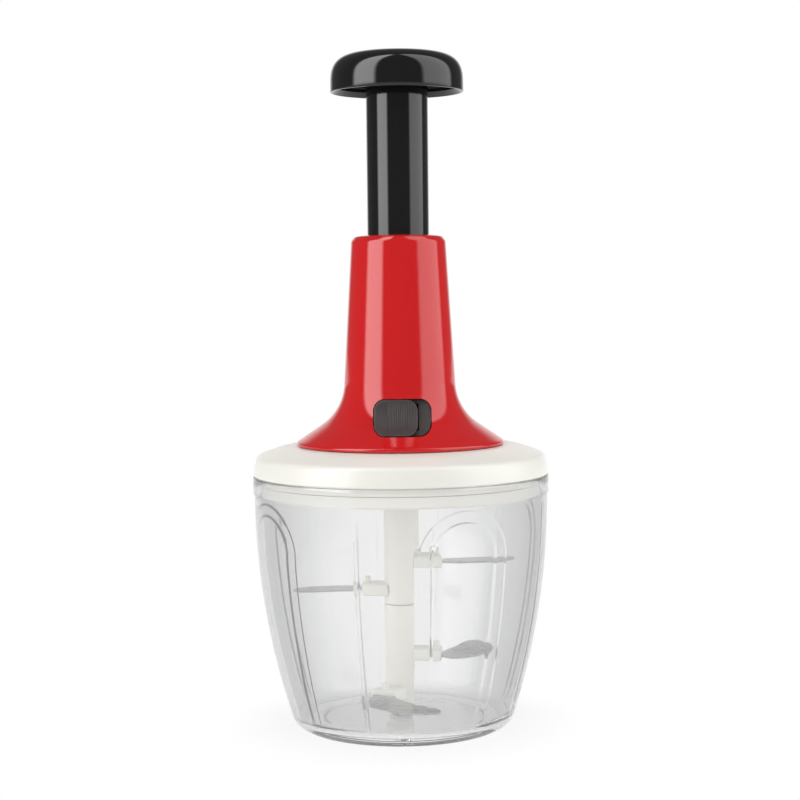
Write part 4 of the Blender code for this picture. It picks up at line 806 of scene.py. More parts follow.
FINISHES: dict[Slot, Finish] = {
    Slot.CLEAR: ClearPlastic(Slot.CLEAR, (0.93, 0.93, 0.935), 0.02),
    Slot.CREAM: MouldedPlastic(Slot.CREAM, (0.87, 0.86, 0.80), 0.30, glow=0.12),
    Slot.RED: MouldedPlastic(Slot.RED, (0.60, 0.012, 0.014), 0.09, gloss_change=0.02),
    Slot.BLACK: MouldedPlastic(Slot.BLACK, (0.008, 0.008, 0.009), 0.08, gloss_change=0.015),
    Slot.GREY: MouldedPlastic(Slot.GREY, (0.032, 0.027, 0.026), 0.50, grain_depth=0.000006),
    Slot.NYLON: MouldedPlastic(Slot.NYLON, (0.80, 0.80, 0.77), 0.42, glow=0.2),
    Slot.BLADE: LinedMetal(Slot.BLADE, (0.48, 0.48, 0.485), 0.26, stretch=(60.0, 2600.0, 2600.0),
                           line_depth=0.0000002),
    Slot.PLATED: LinedMetal(Slot.PLATED, (0.55, 0.55, 0.57), 0.28),
    Slot.SPRING: LinedMetal(Slot.SPRING, (0.42, 0.42, 0.44), 0.32),
    Slot.BRASS: LinedMetal(Slot.BRASS, (0.72, 0.50, 0.20), 0.28),
    Slot.SILICONE: MouldedPlastic(Slot.SILICONE, (0.87, 0.86, 0.80), 0.45, glow=0.12),
}


def dress(piece: bpy.types.Object, slot: Slot) -> None:
    """Give a piece the finish of a slot.

    Args:
        piece: The piece.
        slot: The slot.
    """
    piece.data.materials.clear()
    piece.data.materials.append(FINISHES[slot].material())


@dataclass(frozen=True)
class Built:
    """A rebuilt piece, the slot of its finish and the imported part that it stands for."""

    piece: bpy.types.Object
    slot: Slot
    node: str


@dataclass
class SubAssembly(ABC):
    """One group of pieces that is built and then given its finishes."""

    body: ClassVar[Body]
    made: list[Built] = field(default_factory=list, init=False)

    @abstractmethod
    def build(self) -> None:
        """Build the pieces."""

    def keep(self, piece: bpy.types.Object, slot: Slot, node: str) -> None:
        """Note a piece that was built.

        Args:
            piece: The rebuilt piece.
            slot: Slot of its finish.
            node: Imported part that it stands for.
        """
        self.made.append(Built(piece, slot, node))

    def dress(self) -> None:
        """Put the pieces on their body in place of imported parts, and give them their finishes."""
        for item in self.made:
            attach(item.piece, self.body.value)
            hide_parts(item.node)
            dress(item.piece, item.slot)


@dataclass(frozen=True)
class BowlSizes:
    """Sizes of the clear bowl, in metres and degrees."""

    height: float = 0.1112
    body_radius: float = 0.0644
    foot_radius: float = 0.0476
    draw_in_power: float = 2.085
    wall: float = 0.0026
    floor: float = 0.0032
    foot_fillet: float = 0.0080
    floor_fillet: float = 0.0070
    band_height: float = 0.0074
    band_step: float = 0.0006
    edge: float = 0.0006
    ring_width: float = 0.0042
    recess: float = 0.0012
    boss_radius: float = 0.0042
    boss_height: float = 0.0015
    pin_radius: float = 0.0023
    pin_depth: float = 0.0034
    boss_fillet: float = 0.0008
    recess_fillet: float = 0.0005
    panel_first: float = -64.7
    panel_half: float = 19.2
    panel_depth: float = 0.0009
    panel_border: float = 0.0056
    step_share: float = 0.38
    step_width: float = 0.12
    panel_top_drop: float = 0.0095
    rib_first: float = -17.6
    rib_half_width: float = 0.0016
    rib_depth: float = 0.0005
    rib_top_drop: float = 0.0105
    rib_fade: float = 0.012
    quadrants: int = 4
    step_start: float = -21.5
    edge_middle: float = 16.8
    edge_zone: float = 3.0
    rib_zone: float = 2.2
    fine_step: float = 0.2
    panel_step: float = 0.9
    plain_step: float = 1.5
    wall_pitch: float = 0.0004
    floor_pitch: float = 0.0012
    side_pitch: float = 0.002
    foot_pitch: float = 0.004
    sharp_angle: float = 50.0

    @property
    def band_z(self) -> float:
        """Height at which the band round the rim starts."""
        return self.height - self.band_height

    @property
    def floor_z(self) -> float:
        """Height of the floor's upper side."""
        return self.recess + self.floor


@dataclass
class ClearBowl(SubAssembly):
    """The clear bowl with four arched panels raised on its inside."""

    body: ClassVar[Body] = Body.BOWL
    sizes: BowlSizes = BowlSizes()

    def outer_radius(self, z: np.ndarray | float) -> np.ndarray | float:
        """Outer radius of the wall below its band.

        Args:
            z: Heights.

        Returns:
            The radii.
        """
        s = self.sizes
        drop = np.clip((s.band_z - z) / s.band_z, 0, None)
        return s.body_radius - (s.body_radius - s.foot_radius) * drop ** s.draw_in_power

    def inner_radius(self, z: np.ndarray | float) -> np.ndarray | float:
        """Radius of the wall's inside between the panels.

        Args:
            z: Heights.

        Returns:
            The radii.
        """
        return self.outer_radius(z) - self.sizes.wall

    def angles(self) -> np.ndarray:
        """Steps round the bowl, finer at the edges of panels and ribs.

        Returns:
            The angles in radians, zero at the front.
        """
        s = self.sizes
        quarter = 360 / s.quadrants
        rib = (s.rib_first - s.panel_first) % quarter
        steps: list[float] = []
        angle = s.step_start
        while angle < s.step_start + quarter - s.fine_step:
            steps.append(angle)
            near_edge = abs(abs(angle) - s.edge_middle) < s.edge_zone
            near_rib = abs(angle - rib) < s.rib_zone
            coarse = s.panel_step if abs(angle) < s.edge_middle else s.plain_step
            angle += s.fine_step if near_rib or near_edge else coarse
        centres = s.panel_first + quarter * np.arange(s.quadrants)
        return np.radians(np.add.outer(centres, steps).ravel())

    def aside(self, angles: np.ndarray, first: float) -> np.ndarray:
        """Measure angles from the nearest of the marks that stand evenly round the bowl.

        Args:
            angles: Angles in radians.
            first: The first mark in degrees.

        Returns:
            The angles from the nearest mark, in radians.
        """
        quarter = math.tau / self.sizes.quadrants
        return (angles - math.radians(first) + quarter / 2) % quarter - quarter / 2

    def relief(self, angles: np.ndarray, z: float) -> np.ndarray:
        """How far panels and ribs stand in from the wall at one height.

        Args:
            angles: Steps round the bowl.
            z: Height.

        Returns:
            The relief in metres.
        """
        s = self.sizes
        top = s.band_z - (s.panel_top_drop - s.band_height)
        radius = self.inner_radius(z)
        half = math.radians(s.panel_half)
        arch = self.inner_radius(top) * math.sin(half)
        spring = top - arch
        across = radius * np.sin(self.aside(angles, s.panel_first))
        if z > spring:
            inside = arch - np.hypot(across, z - spring)
        else:
            inside = radius * math.sin(half) - np.abs(across)
        share = np.clip(inside / s.panel_border, 0, 1)
        steps = eased(share / s.step_width) + eased((share - 1 + s.step_width) / s.step_width)
        panel = s.panel_depth * (s.step_share * steps + (1 - 2 * s.step_share) * share)
        across = radius * np.sin(self.aside(angles, s.rib_first))
        fade = np.clip((s.height - s.rib_top_drop - z) / s.rib_fade, 0, 1)
        return np.maximum(panel, s.rib_depth * fade * eased(1 - np.abs(across) / s.rib_half_width))

    def build(self) -> None:
        """Build the bowl as one closed skin, inside and outside."""
        s = self.sizes
        angles = self.angles()
        wall_low = s.floor_z + s.floor_fillet * 2
        corner = Corner(float(self.inner_radius(s.floor_z)), s.floor_z, s.floor_fillet)
        wall = [Corner(float(self.inner_radius(z)), z)
                for z in np.arange(wall_low, s.band_z, s.wall_pitch)]
        inner = rounded([
            Corner(0, s.floor_z + s.boss_height - s.pin_depth),
            Corner(s.pin_radius, s.floor_z + s.boss_height - s.pin_depth),
            Corner(s.pin_radius, s.floor_z + s.boss_height),
            Corner(s.boss_radius, s.floor_z + s.boss_height, BROKEN_EDGE),
            Corner(s.boss_radius + s.boss_height, s.floor_z, s.boss_fillet),
            corner, wall[0]])
        inner = resampled(inner, s.floor_pitch) + [(c.radius, c.height) for c in wall[1:]]
        ring = s.foot_radius - s.foot_fillet
        top_inner = float(self.inner_radius(s.band_z))
        below = s.band_z - s.side_pitch
        rim = rounded([
            Corner(top_inner, s.band_z), Corner(top_inner, s.height, s.edge),
            Corner(s.body_radius + s.band_step, s.height, s.edge),
            Corner(s.body_radius + s.band_step, s.band_z, BROKEN_EDGE),
            Corner(s.body_radius, s.band_z - s.band_step, BROKEN_EDGE),
            Corner(float(self.outer_radius(below)), below)])
        outside = [(float(self.outer_radius(z)), z)
                   for z in np.arange(below - s.side_pitch, s.foot_fillet * 1.2, -s.side_pitch)]
        foot = rounded([
            Corner(*outside[-1]), Corner(float(self.outer_radius(0)), 0, s.foot_fillet),
            Corner(ring - s.ring_width, 0, BROKEN_EDGE),
            Corner(ring - s.ring_width - s.recess, s.recess, s.recess_fillet), Corner(0, s.recess)])
        outline = inner + rim + outside + resampled(foot[1:], s.foot_pitch)
        rows = []
        for index, (radius, z) in enumerate(outline):
            radii = radius
            if index < len(inner) and radius > s.boss_radius * 2:
                radii = np.minimum(radius, self.inner_radius(z) - self.relief(angles, z))
            rows.append(level_row(radii, z, angles - math.pi / 2))
        bowl = skin("clear_bowl", rows, closed=False)
        bowl.data.set_sharp_from_angle(angle=math.radians(s.sharp_angle))
        self.keep(bowl, Slot.CLEAR, "bowl")


@dataclass(frozen=True)
class BladeShape:
    """Where one blade sits and how it is bent."""

    name: str
    height: float
    angle: float
    tip_radius: float
    sweep: float
    rise: float
    pitch: float
    tip_share: float


@dataclass(frozen=True)
class CutterSizes:
    """Sizes of the blade hub and its blades."""

    hub_radius: float = 0.0078
    foot_radius: float = 0.0064
    foot_height: float = 0.0022
    bottom_z: float = 0.0062
    joint_z: float = 0.0538
    spigot_radius: float = 0.0049
    spigot_length: float = 0.0080
    pin_bore: float = 0.0024
    pin_bore_z: float = 0.0242
    top_z: float = 0.1057
    hex_radius: float = 0.0052
    hex_z: float = 0.0929
    gap: float = 0.0003
    edge: float = 0.0006
    arm_reach: float = 0.0098
    arm_width: float = 0.0118
    arm_height: float = 0.0052
    arm_edge: float = 0.0009
    peg_width: float = 0.0026
    peg_height: float = 0.0030
    peg_inset: float = 0.0012
    thickness: float = 0.0010
    cutting_edge: float = 0.00015
    grind: float = 0.0032
    blade_width: float = 0.0135
    tang_width: float = 0.0088
    tip_width: float = 0.0016
    root_depth: float = 0.0010
    shoulder_share: float = 0.16
    sections: int = 48
    segments: int = 72
    arm_root_share: float = 0.8
    ground_angle: float = 9.0
    blades: tuple[BladeShape, ...] = (
        BladeShape("blade_1", 0.0725, 2, 0.0505, 6, 0, 0, 0.36),
        BladeShape("blade_2", 0.0605, 182, 0.0495, 6, 0, 0, 0.36),
        BladeShape("blade_3", 0.0315, -6, 0.0385, 34, 0.0015, 13, 0.24),
        BladeShape("blade_4", 0.0155, 240, 0.0345, 57, -0.0028, 20, 0.72),
    )


@dataclass
class Cutter(SubAssembly):
    """The blade hub in its two mouldings, with arms, pegs and blades."""

    body: ClassVar[Body] = Body.CUTTER
    sizes: CutterSizes = CutterSizes()

    def arm(self, shape: BladeShape) -> list[bpy.types.Object]:
        """Make the arm that holds a blade, and its peg.

        Args:
            shape: The blade that it holds.

        Returns:
            The shapes of the arm.
        """
        s = self.sizes
        reach = s.hub_radius + s.arm_reach
        half = s.arm_width / 2
        low = shape.height - s.arm_height / 2
        high = shape.height + s.arm_height / 2
        peg_end = reach - s.peg_inset
        solids = [
            soft_box((s.hub_radius * s.arm_root_share, -half, low), (reach, half, high), s.arm_edge),
            soft_box((peg_end - s.peg_width, -s.peg_width / 2, shape.height),
                     (peg_end, s.peg_width / 2, high + s.peg_height), s.arm_edge / 2),
        ]
        for solid in solids:
            solid.matrix_world = Matrix.Rotation(math.radians(shape.angle), 4, 'Z')
        return solids

    def blade(self, shape: BladeShape) -> bpy.types.Object:
        """Make a blade with its ground leading edge.

        Args:
            shape: Where it sits and how it is bent.

        Returns:
            The blade.
        """
        s = self.sizes
        root = s.hub_radius + s.root_depth
        free = s.hub_radius + s.arm_reach
        reach = np.sin(np.linspace(0, math.pi / 2, s.sections))
        radii = np.concatenate([[root], free + (shape.tip_radius - free) * reach])
        shares = (radii - root) / (shape.tip_radius - root)
        out = np.clip((radii - free) / (shape.tip_radius - free), 0, None)
        bend = out ** 2
        angles = math.radians(shape.angle) + math.radians(shape.sweep) * bend
        centres = np.stack([radii * np.cos(angles), radii * np.sin(angles),
                            shape.height + shape.rise * bend], axis=1)
        along = np.gradient(centres, axis=0)
        along[1] = along[0]
        along /= np.linalg.norm(along, axis=1, keepdims=True)
        level = np.cross([0.0, 0.0, 1.0], along)
        level /= np.linalg.norm(level, axis=1, keepdims=True)
        steep = np.cross(along, level)
        turn = (math.radians(shape.pitch) * np.sqrt(out))[:, None]
        across = level * np.cos(turn) + steep * np.sin(turn)
        upward = np.cross(along, across)
        full = np.clip(out / s.shoulder_share, 0, 1)
        width = s.tang_width + (s.blade_width - s.tang_width) * full
        near_tip = np.clip((shares - 1 + shape.tip_share) / shape.tip_share, 0, 1)
        width = s.tip_width + (width - s.tip_width) * np.sqrt(1 - near_tip ** 2)
        rows = []
        for index in range(len(shares)):
            half = width[index] / 2
            shoulder = half - min(s.grind, half)
            section = [(-half, -s.thickness / 2), (shoulder, -s.thickness / 2),
                       (half, -s.cutting_edge / 2), (half, s.cutting_edge / 2),
                       (shoulder, s.thickness / 2), (-half, s.thickness / 2)]
            rows.append(np.array([centres[index] + across[index] * side + upward[index] * up
                                  for side, up in section]))
        piece = skin(shape.name + "_fine", capped(rows), closed=False)
        piece.data.set_sharp_from_angle(angle=math.radians(s.ground_angle))
        return piece

    def build(self) -> None:
        """Build both hub mouldings and the blades."""
        s = self.sizes
        top = rounded([
            Corner(0, s.hex_z), Corner(s.hex_radius, s.hex_z), Corner(s.hex_radius, s.top_z, BROKEN_EDGE),
            Corner(s.hub_radius, s.top_z, s.edge), Corner(s.hub_radius, s.joint_z + s.gap, BROKEN_EDGE),
            Corner(s.spigot_radius + s.gap, s.joint_z + s.gap),
            Corner(s.spigot_radius + s.gap, s.joint_z + s.spigot_length + s.gap),
            Corner(0, s.joint_z + s.spigot_length + s.gap)])
        upper = turned("upper", top, closed=False, segments=s.segments)
        low = rounded([
            Corner(0, s.joint_z + s.spigot_length), Corner(s.spigot_radius, s.joint_z + s.spigot_length),
            Corner(s.spigot_radius, s.joint_z), Corner(s.hub_radius, s.joint_z, BROKEN_EDGE),
            Corner(s.hub_radius, s.bottom_z + s.foot_height, BROKEN_EDGE),
            Corner(s.foot_radius, s.bottom_z + s.foot_height, BROKEN_EDGE),
            Corner(s.foot_radius, s.bottom_z, s.edge), Corner(s.pin_bore, s.bottom_z, BROKEN_EDGE),
            Corner(s.pin_bore, s.pin_bore_z), Corner(0, s.pin_bore_z)])
        lower = turned("lower", low, closed=False, segments=s.segments)
        upper_parts = [upper] + self.arm(s.blades[0]) + self.arm(s.blades[1])
        lower_parts = [lower] + self.arm(s.blades[2]) + self.arm(s.blades[3])
        self.keep(fused("upper_hub_fine", upper_parts), Slot.CREAM, "upper_hub")
        self.keep(fused("lower_hub_fine", lower_parts), Slot.CREAM, "lower_hub")
        for shape in s.blades:
            self.keep(self.blade(shape), Slot.BLADE, shape.name)


@dataclass(frozen=True)
class LidSizes:
    """Sizes of the lid."""

    bottom_z: float = 0.1115
    crown_z: float = 0.1242
    rim_radius: float = 0.0650
    wall: float = 0.0024
    shoulder_drop: float = 0.0043
    shoulder_inset: float = 0.0016
    crown_radius: float = 0.0510
    crown_fillet: float = 0.0300
    shoulder_fillet: float = 0.0032
    edge: float = 0.0006
    collar_radius: float = 0.0611
    collar_wall: float = 0.0022
    collar_z: float = 0.1028
    seal_z: float = 0.1105
    seal_height: float = 0.0028
    seal_groove: float = 0.0012
    guard_radius: float = 0.0121
    guard_wall: float = 0.0022
    guard_z: float = 0.1071
    collar_edge: float = 0.0002
    inner_edge: float = 0.0006
    inner_shoulder_fillet: float = 0.0020
    inner_crown_fillet: float = 0.0100
    inner_shoulder_shares: tuple[float, float] = (0.8, 0.6)
    inner_crown_share: float = 0.2
    run: float = 0.0060


@dataclass
class Lid(SubAssembly):
    """The cream lid with its collar."""

    body: ClassVar[Body] = Body.HEAD
    sizes: LidSizes = LidSizes()

    def build(self) -> None:
        """Build the lid as one turned ring."""
        s = self.sizes
        under = s.crown_z - s.wall
        web = s.bottom_z + s.wall
        groove = s.collar_radius - s.seal_groove
        collar = s.collar_radius - s.collar_wall
        shoulder = s.rim_radius - s.shoulder_inset
        inset, drop = s.inner_shoulder_shares
        outline = rounded([
            Corner(s.guard_radius, s.crown_z, BROKEN_EDGE),
            Corner(s.crown_radius, s.crown_z, s.crown_fillet),
            Corner(shoulder, s.crown_z - s.shoulder_drop, s.shoulder_fillet),
            Corner(s.rim_radius, s.bottom_z, s.edge), Corner(s.collar_radius, s.bottom_z, s.collar_edge),
            Corner(s.collar_radius, s.seal_z), Corner(groove, s.seal_z),
            Corner(groove, s.seal_z - s.seal_height), Corner(s.collar_radius, s.seal_z - s.seal_height),
            Corner(s.collar_radius, s.collar_z, s.edge), Corner(collar, s.collar_z, s.edge),
            Corner(collar, web, s.inner_edge), Corner(s.rim_radius - s.wall, web, s.inner_edge),
            Corner(shoulder - s.wall * inset, s.crown_z - s.shoulder_drop - s.wall * drop,
                   s.inner_shoulder_fillet),
            Corner(s.crown_radius - s.wall * s.inner_crown_share, under, s.inner_crown_fillet),
            Corner(s.guard_radius + s.guard_wall, under, s.inner_edge),
            Corner(s.guard_radius + s.guard_wall, s.guard_z, BROKEN_EDGE),
            Corner(s.guard_radius, s.guard_z, BROKEN_EDGE)])
        self.keep(turned("lid_fine", resampled(outline, s.run), closed=True), Slot.CREAM, "lid")


@dataclass(frozen=True)
class HousingSizes:
    """Sizes of the handle housing and its lock slot."""

    base_z: float = 0.1245
    height: float = 0.0915
    base_radius: float = 0.0454
    edge_height: float = 0.0014
    waist_radius: float = 0.0251
    waist_height: float = 0.0151
    neck_radius: float = 0.0207
    neck_drop: float = 0.0026
    crown_radius: float = 0.0192
    crown_drop: float = 0.0006
    lip_radius: float = 0.0158
    hole_radius: float = 0.0139
    wall: float = 0.0025
    flare_fillet: float = 0.0230
    edge_fillet: float = 0.0010
    top_fillet: float = 0.0016
    slot_height: float = 0.0136
    slot_x: float = 0.0009
    slot_width: float = 0.0250
    slot_tall: float = 0.0153
    slot_corner: float = 0.0052
    slot_end: float = -0.0120
    hole_fillet: float = 0.0004
    lip_fillet: float = 0.0010
    inner_neck_fillet: float = 0.0010
    inner_flare_share: float = 0.6
    inner_neck_share: float = 0.5
    run: float = 0.0015

    @property
    def slot_z(self) -> float:
        """Height of the slot's middle."""
        return self.base_z + self.slot_height

    def corners(self) -> list[Corner]:
        """Outer corners of the housing, from its top hole down.

        Returns:
            The corners.
        """
        top = self.base_z + self.height
        return [
            Corner(self.hole_radius, top, self.hole_fillet), Corner(self.lip_radius, top, self.lip_fillet),
            Corner(self.crown_radius, top - self.crown_drop, self.top_fillet),
            Corner(self.neck_radius, top - self.neck_drop, self.top_fillet),
            Corner(self.waist_radius, self.base_z + self.waist_height, self.flare_fillet),
            Corner(self.base_radius, self.base_z + self.edge_height, self.edge_fillet),
            Corner(self.base_radius, self.base_z, BROKEN_EDGE),
        ]

    def radius_at(self, height: float) -> float:
        """Outer radius of the housing at a height.

        Args:
            height: The height.

        Returns:
            The radius.
        """
        points = rounded(self.corners()[1:-1])
        found = [r0 + (r1 - r0) * (height - z0) / (z1 - z0)
                 for (r0, z0), (r1, z1) in zip(points, points[1:])
                 if z1 <= height <= z0 and z0 > z1]
        return max(found)


def rounded_ring(middle: tuple[float, float], width: float, tall: float, corner: float) -> Outline:
    """Rounded rectangle in X and Z.

    Args:
        middle: Its centre.
        width: Size along X.
        tall: Size along Z.
        corner: Radius of its corners.

    Returns:
        The points in order.
    """
    points = []
    for side_x, side_z, quarter in ((1, 1, 0), (-1, 1, 1), (-1, -1, 2), (1, -1, 3)):
        centre_x = middle[0] + side_x * (width / 2 - corner)
        centre_z = middle[1] + side_z * (tall / 2 - corner)
        for step in range(CORNER_STEPS + 1):
            angle = (quarter + step / CORNER_STEPS) * math.pi / 2
            points.append((centre_x + corner * math.cos(angle), centre_z + corner * math.sin(angle)))
    return points


@dataclass
class Housing(SubAssembly):
    """The red handle housing with its lock slot."""

    body: ClassVar[Body] = Body.HEAD
    sizes: HousingSizes = HousingSizes()

    def build(self) -> None:
        """Build the housing's shell and cut the lock slot into it."""
        s = self.sizes
        outer = s.corners()
        top = s.base_z + s.height
        inner = [
            Corner(s.base_radius - s.wall, s.base_z, BROKEN_EDGE),
            Corner(s.waist_radius - s.wall, s.base_z + s.waist_height - s.wall * s.inner_flare_share,
                   s.flare_fillet),
            Corner(s.neck_radius - s.wall, top - s.neck_drop - s.wall * s.inner_neck_share,
                   s.inner_neck_fillet),
            Corner(s.hole_radius, top - s.wall, BROKEN_EDGE),
        ]
        shell = turned("housing_fine", resampled(rounded(outer + inner), s.run), closed=True)
        ring = rounded_ring((s.slot_x, s.slot_z), s.slot_width, s.slot_tall, s.slot_corner)
        cut = prism("slot", ring, -s.base_radius, s.slot_end)
        self.keep(combined(shell, cut, 'DIFFERENCE'), Slot.RED, "handle_housing")


@dataclass(frozen=True)
class LockSizes:
    """Sizes of the lock button."""

    gap: float = 0.0003
    pad_width: float = 0.0188
    pad_thickness: float = 0.0034
    drop: float = 0.0034
    groove_pitch: float = 0.00093
    grooves: int = 11
    groove_depth: float = 0.00032
    groove_shift: float = 0.0014
    groove_margin: float = 0.0012
    groove_fade: float = 0.0005
    columns: int = 280
    column_steps: int = 44
    neck_half_width: float = 0.0020
    neck_half_height: float = 0.0050
    neck_end: float = -0.0204
    neck_lap_share: float = 0.3
    edge: float = 0.0008


@dataclass
class LockButton(SubAssembly):
    """The ribbed lock button with its neck, set into the housing."""

    body: ClassVar[Body] = Body.LOCK
    housing: HousingSizes = HousingSizes()
    sizes: LockSizes = LockSizes()

    def depth(self, inside: float, away: float) -> float:
        """Depth of the button's ribbed front.

        Args:
            inside: Distance in from the button's outline.
            away: Distance across from the middle of its ribs.

        Returns:
            The depth below the housing's middle line.
        """
        s = self.sizes
        fall = max(1 - inside / s.edge, 0)
        depth = s.drop - s.gap - s.pad_thickness + s.edge * (1 - math.sqrt(max(1 - fall * fall, 0)))
        reach = s.groove_pitch * s.grooves / 2
        if abs(away) < reach:
            wave = 0.5 - 0.5 * math.cos(math.tau * (away + reach) / s.groove_pitch)
            share = min(max((inside - s.groove_margin) / s.groove_fade, 0), 1)
            depth += s.groove_depth * wave ** 2 * share
        return depth

    def pad(self) -> bpy.types.Object:
        """Make the button's face, column by column across the housing.

        Returns:
            The face with its flat back.
        """
        s, h = self.sizes, self.housing
        half = s.pad_width / 2
        middle = h.slot_x - h.slot_width / 2 + s.gap + half
        tall = h.slot_tall / 2 - s.gap
        corner = h.slot_corner - s.gap
        rows = []
        for turn in np.linspace(-math.pi / 2, math.pi / 2, s.columns):
            across = half * math.sin(turn)
            over = max(abs(across) - (half - corner), 0)
            reach = tall - corner + math.sqrt(max(corner * corner - over * over, 0))
            fore, aft = [], []
            for rise in np.linspace(-math.pi / 2, math.pi / 2, s.column_steps):
                up = reach * math.sin(rise)
                lift = max(abs(up) - (tall - corner), 0)
                inside = min(corner - math.hypot(over, lift), half - abs(across), tall - abs(up))
                z = h.slot_z + up
                radius = h.radius_at(z)
                depth = self.depth(max(inside, 0), across - s.groove_shift)
                fore.append((middle + across, depth - radius, z))
                aft.append((middle + across, s.drop - s.gap - radius, z))
            rows.append(np.array(fore + aft[::-1]))
        return skin("button_face", capped(rows), closed=False)

    def build(self) -> None:
        """Build the button with its neck."""
        s, h = self.sizes, self.housing
        low, high = h.slot_z - s.neck_half_height, h.slot_z + s.neck_half_height
        start = s.drop - s.gap - s.pad_thickness * s.neck_lap_share - h.radius_at(high)
        neck = soft_box((-s.neck_half_width, start, low), (s.neck_half_width, s.neck_end, high),
                        BROKEN_EDGE)
        self.keep(fused("button_fine", [self.pad(), neck]), Slot.GREY, "lock_slider")


@dataclass(frozen=True)
class PlungerSizes:
    """Sizes of the plunger tube and the knob."""

    tube_radius: float = 0.0135
    tube_top: float = 0.2872
    knob_radius: float = 0.0290
    knob_z: float = 0.2780
    knob_top: float = 0.2954
    crown_radius: float = 0.0120
    crown_drop: float = 0.0004
    shoulder_drop: float = 0.0140
    shoulder_power: float = 3.0
    shoulder_steps: int = 48
    crown_steps: int = 12
    wall: float = 0.0026
    edge: float = 0.0003
    rim: float = 0.0008
    rim_rise: float = 0.0022
    base_lift: float = 0.0045
    base_thickness: float = 0.0022
    base_radius: float = 0.0252
    boss_radius: float = 0.0050
    gap: float = 0.0003
    screw_bore: float = 0.0018


@dataclass
class Plunger(SubAssembly):
    """The black knob with the disc that closes it."""

    body: ClassVar[Body] = Body.PLUNGER
    sizes: PlungerSizes = PlungerSizes()

    def shoulder(self, wall: float) -> list[Corner]:
        """Curve from the knob's crown down to its side.

        Args:
            wall: How far the curve is drawn in.

        Returns:
            The corners, from the crown down.
        """
        s = self.sizes
        top = s.knob_top - s.crown_drop - wall
        reach = s.knob_radius - wall - s.crown_radius
        bend = 2 / s.shoulder_power
        return [Corner(s.crown_radius + reach * math.sin(turn) ** bend,
                       top - (s.shoulder_drop - wall) * (1 - max(math.cos(turn), 0) ** bend))
                for turn in np.linspace(0, math.pi / 2, s.shoulder_steps)]

    def build(self) -> None:
        """Build the knob and its closing disc."""
        s = self.sizes
        ceiling = s.knob_top - s.wall
        inner = s.knob_radius - s.wall
        boss_z = s.tube_top + s.gap
        bore_top = ceiling - s.crown_drop
        crown = [Corner(r, s.knob_top - s.crown_drop * (r / s.crown_radius) ** 2)
                 for r in np.linspace(0, s.crown_radius, s.crown_steps)[:-1]]
        knob = rounded(crown + self.shoulder(0) + [
            Corner(s.knob_radius, s.knob_z, s.edge), Corner(s.knob_radius - s.rim, s.knob_z, s.edge / 2),
            Corner(inner, s.knob_z + s.rim_rise, s.edge),
            *self.shoulder(s.wall)[::-1],
            Corner(s.boss_radius, ceiling, BROKEN_EDGE), Corner(s.boss_radius, boss_z, BROKEN_EDGE),
            Corner(s.screw_bore, boss_z), Corner(s.screw_bore, bore_top), Corner(0, bore_top)])
        low = s.knob_z + s.base_lift
        high = low + s.base_thickness
        hole = s.tube_radius + s.gap
        disc = rounded([Corner(radius, z, BROKEN_EDGE) for radius, z in (
            (s.base_radius, high), (s.base_radius, low), (hole, low), (hole, high))])
        self.keep(turned("knob_fine", knob, closed=False), Slot.BLACK, "knob_cap")
        self.keep(turned("knob_disc_fine", disc, closed=True), Slot.BLACK, "knob_base")


@dataclass
class PackedParts:
    """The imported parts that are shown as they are, with their finishes."""

    nodes: dict[str, bpy.types.Object]
    record: dict
    spring_keep: float = 0.2

    def dress(self) -> None:
        """Give each part that still shows its finish, and smooth its round sides."""
        slots = {row["node"]: Slot(row["material_slot"]) for row in self.record["subparts"]}
        for piece in self.nodes.values():
            if piece.hide_render:
                continue
            dress(piece, slots[piece.name])
            piece.modifiers.new("weld", 'WELD').merge_threshold = WELD_DISTANCE
            piece.modifiers.new("edges", 'EDGE_SPLIT').split_angle = SHARP_ANGLE
            piece.data.shade_smooth()

    def squeeze_spring(self) -> None:
        """Give the spring its own copy of its mesh."""
        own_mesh(self.nodes["return_spring"])


@dataclass(frozen=True)
class Lamp:
    """One soft studio lamp."""

    name: str
    azimuth: float
    elevation: float
    distance: float
    width: float
    tall: float
    radiance: float


@dataclass(frozen=True)
class Panel:
    """Bright side of a lamp as glossy surfaces show it, in degrees."""

    azimuth: float
    half_width: float
    strength: float


@dataclass(frozen=True)
class StudioSizes:
    """Camera, floor and lamps."""

    camera_height: float = 0.1953
    camera_distance: float = 0.800
    focal_pixels: float = 1820.5
    image_pixels: float = 800.0
    sensor: float = 36.0
    tilt: float = 3.69
    roll: float = 0.6
    floor_size: float = 30.0
    centre_z: float = 0.17
    lamps: tuple[Lamp, ...] = (
        Lamp("left_box", -60, 5, 1.3, 1.0, 1.9, 2.3),
        Lamp("right_box", 80, 5, 1.3, 1.44, 1.9, 1.7),
        Lamp("top_box", 0, 80, 1.4, 1.4, 1.4, 0.7),
    )
    panels: tuple[Panel, ...] = (Panel(-58.5, 20.0, 5.2), Panel(76.5, 30.0, 2.5))
    panel_edge: float = 9.0
    inner_share: float = 0.45
    panel_low: float = -6.0
    panel_high: float = 90.0
    shadow_radius: float = 0.046
    white_radius: float = 0.085
    shadow_share: float = 0.75
    floor_grey: float = 0.93
    floor_roughness: float = 0.9
    floor_gloss: float = 0.1
    backdrop: tuple[float, float] = (0.80, 0.97)
    mirror_fill: float = 0.16
    through_fill: float = 0.72
    soft_fill: float = 0.50
    clip_start: float = 0.05


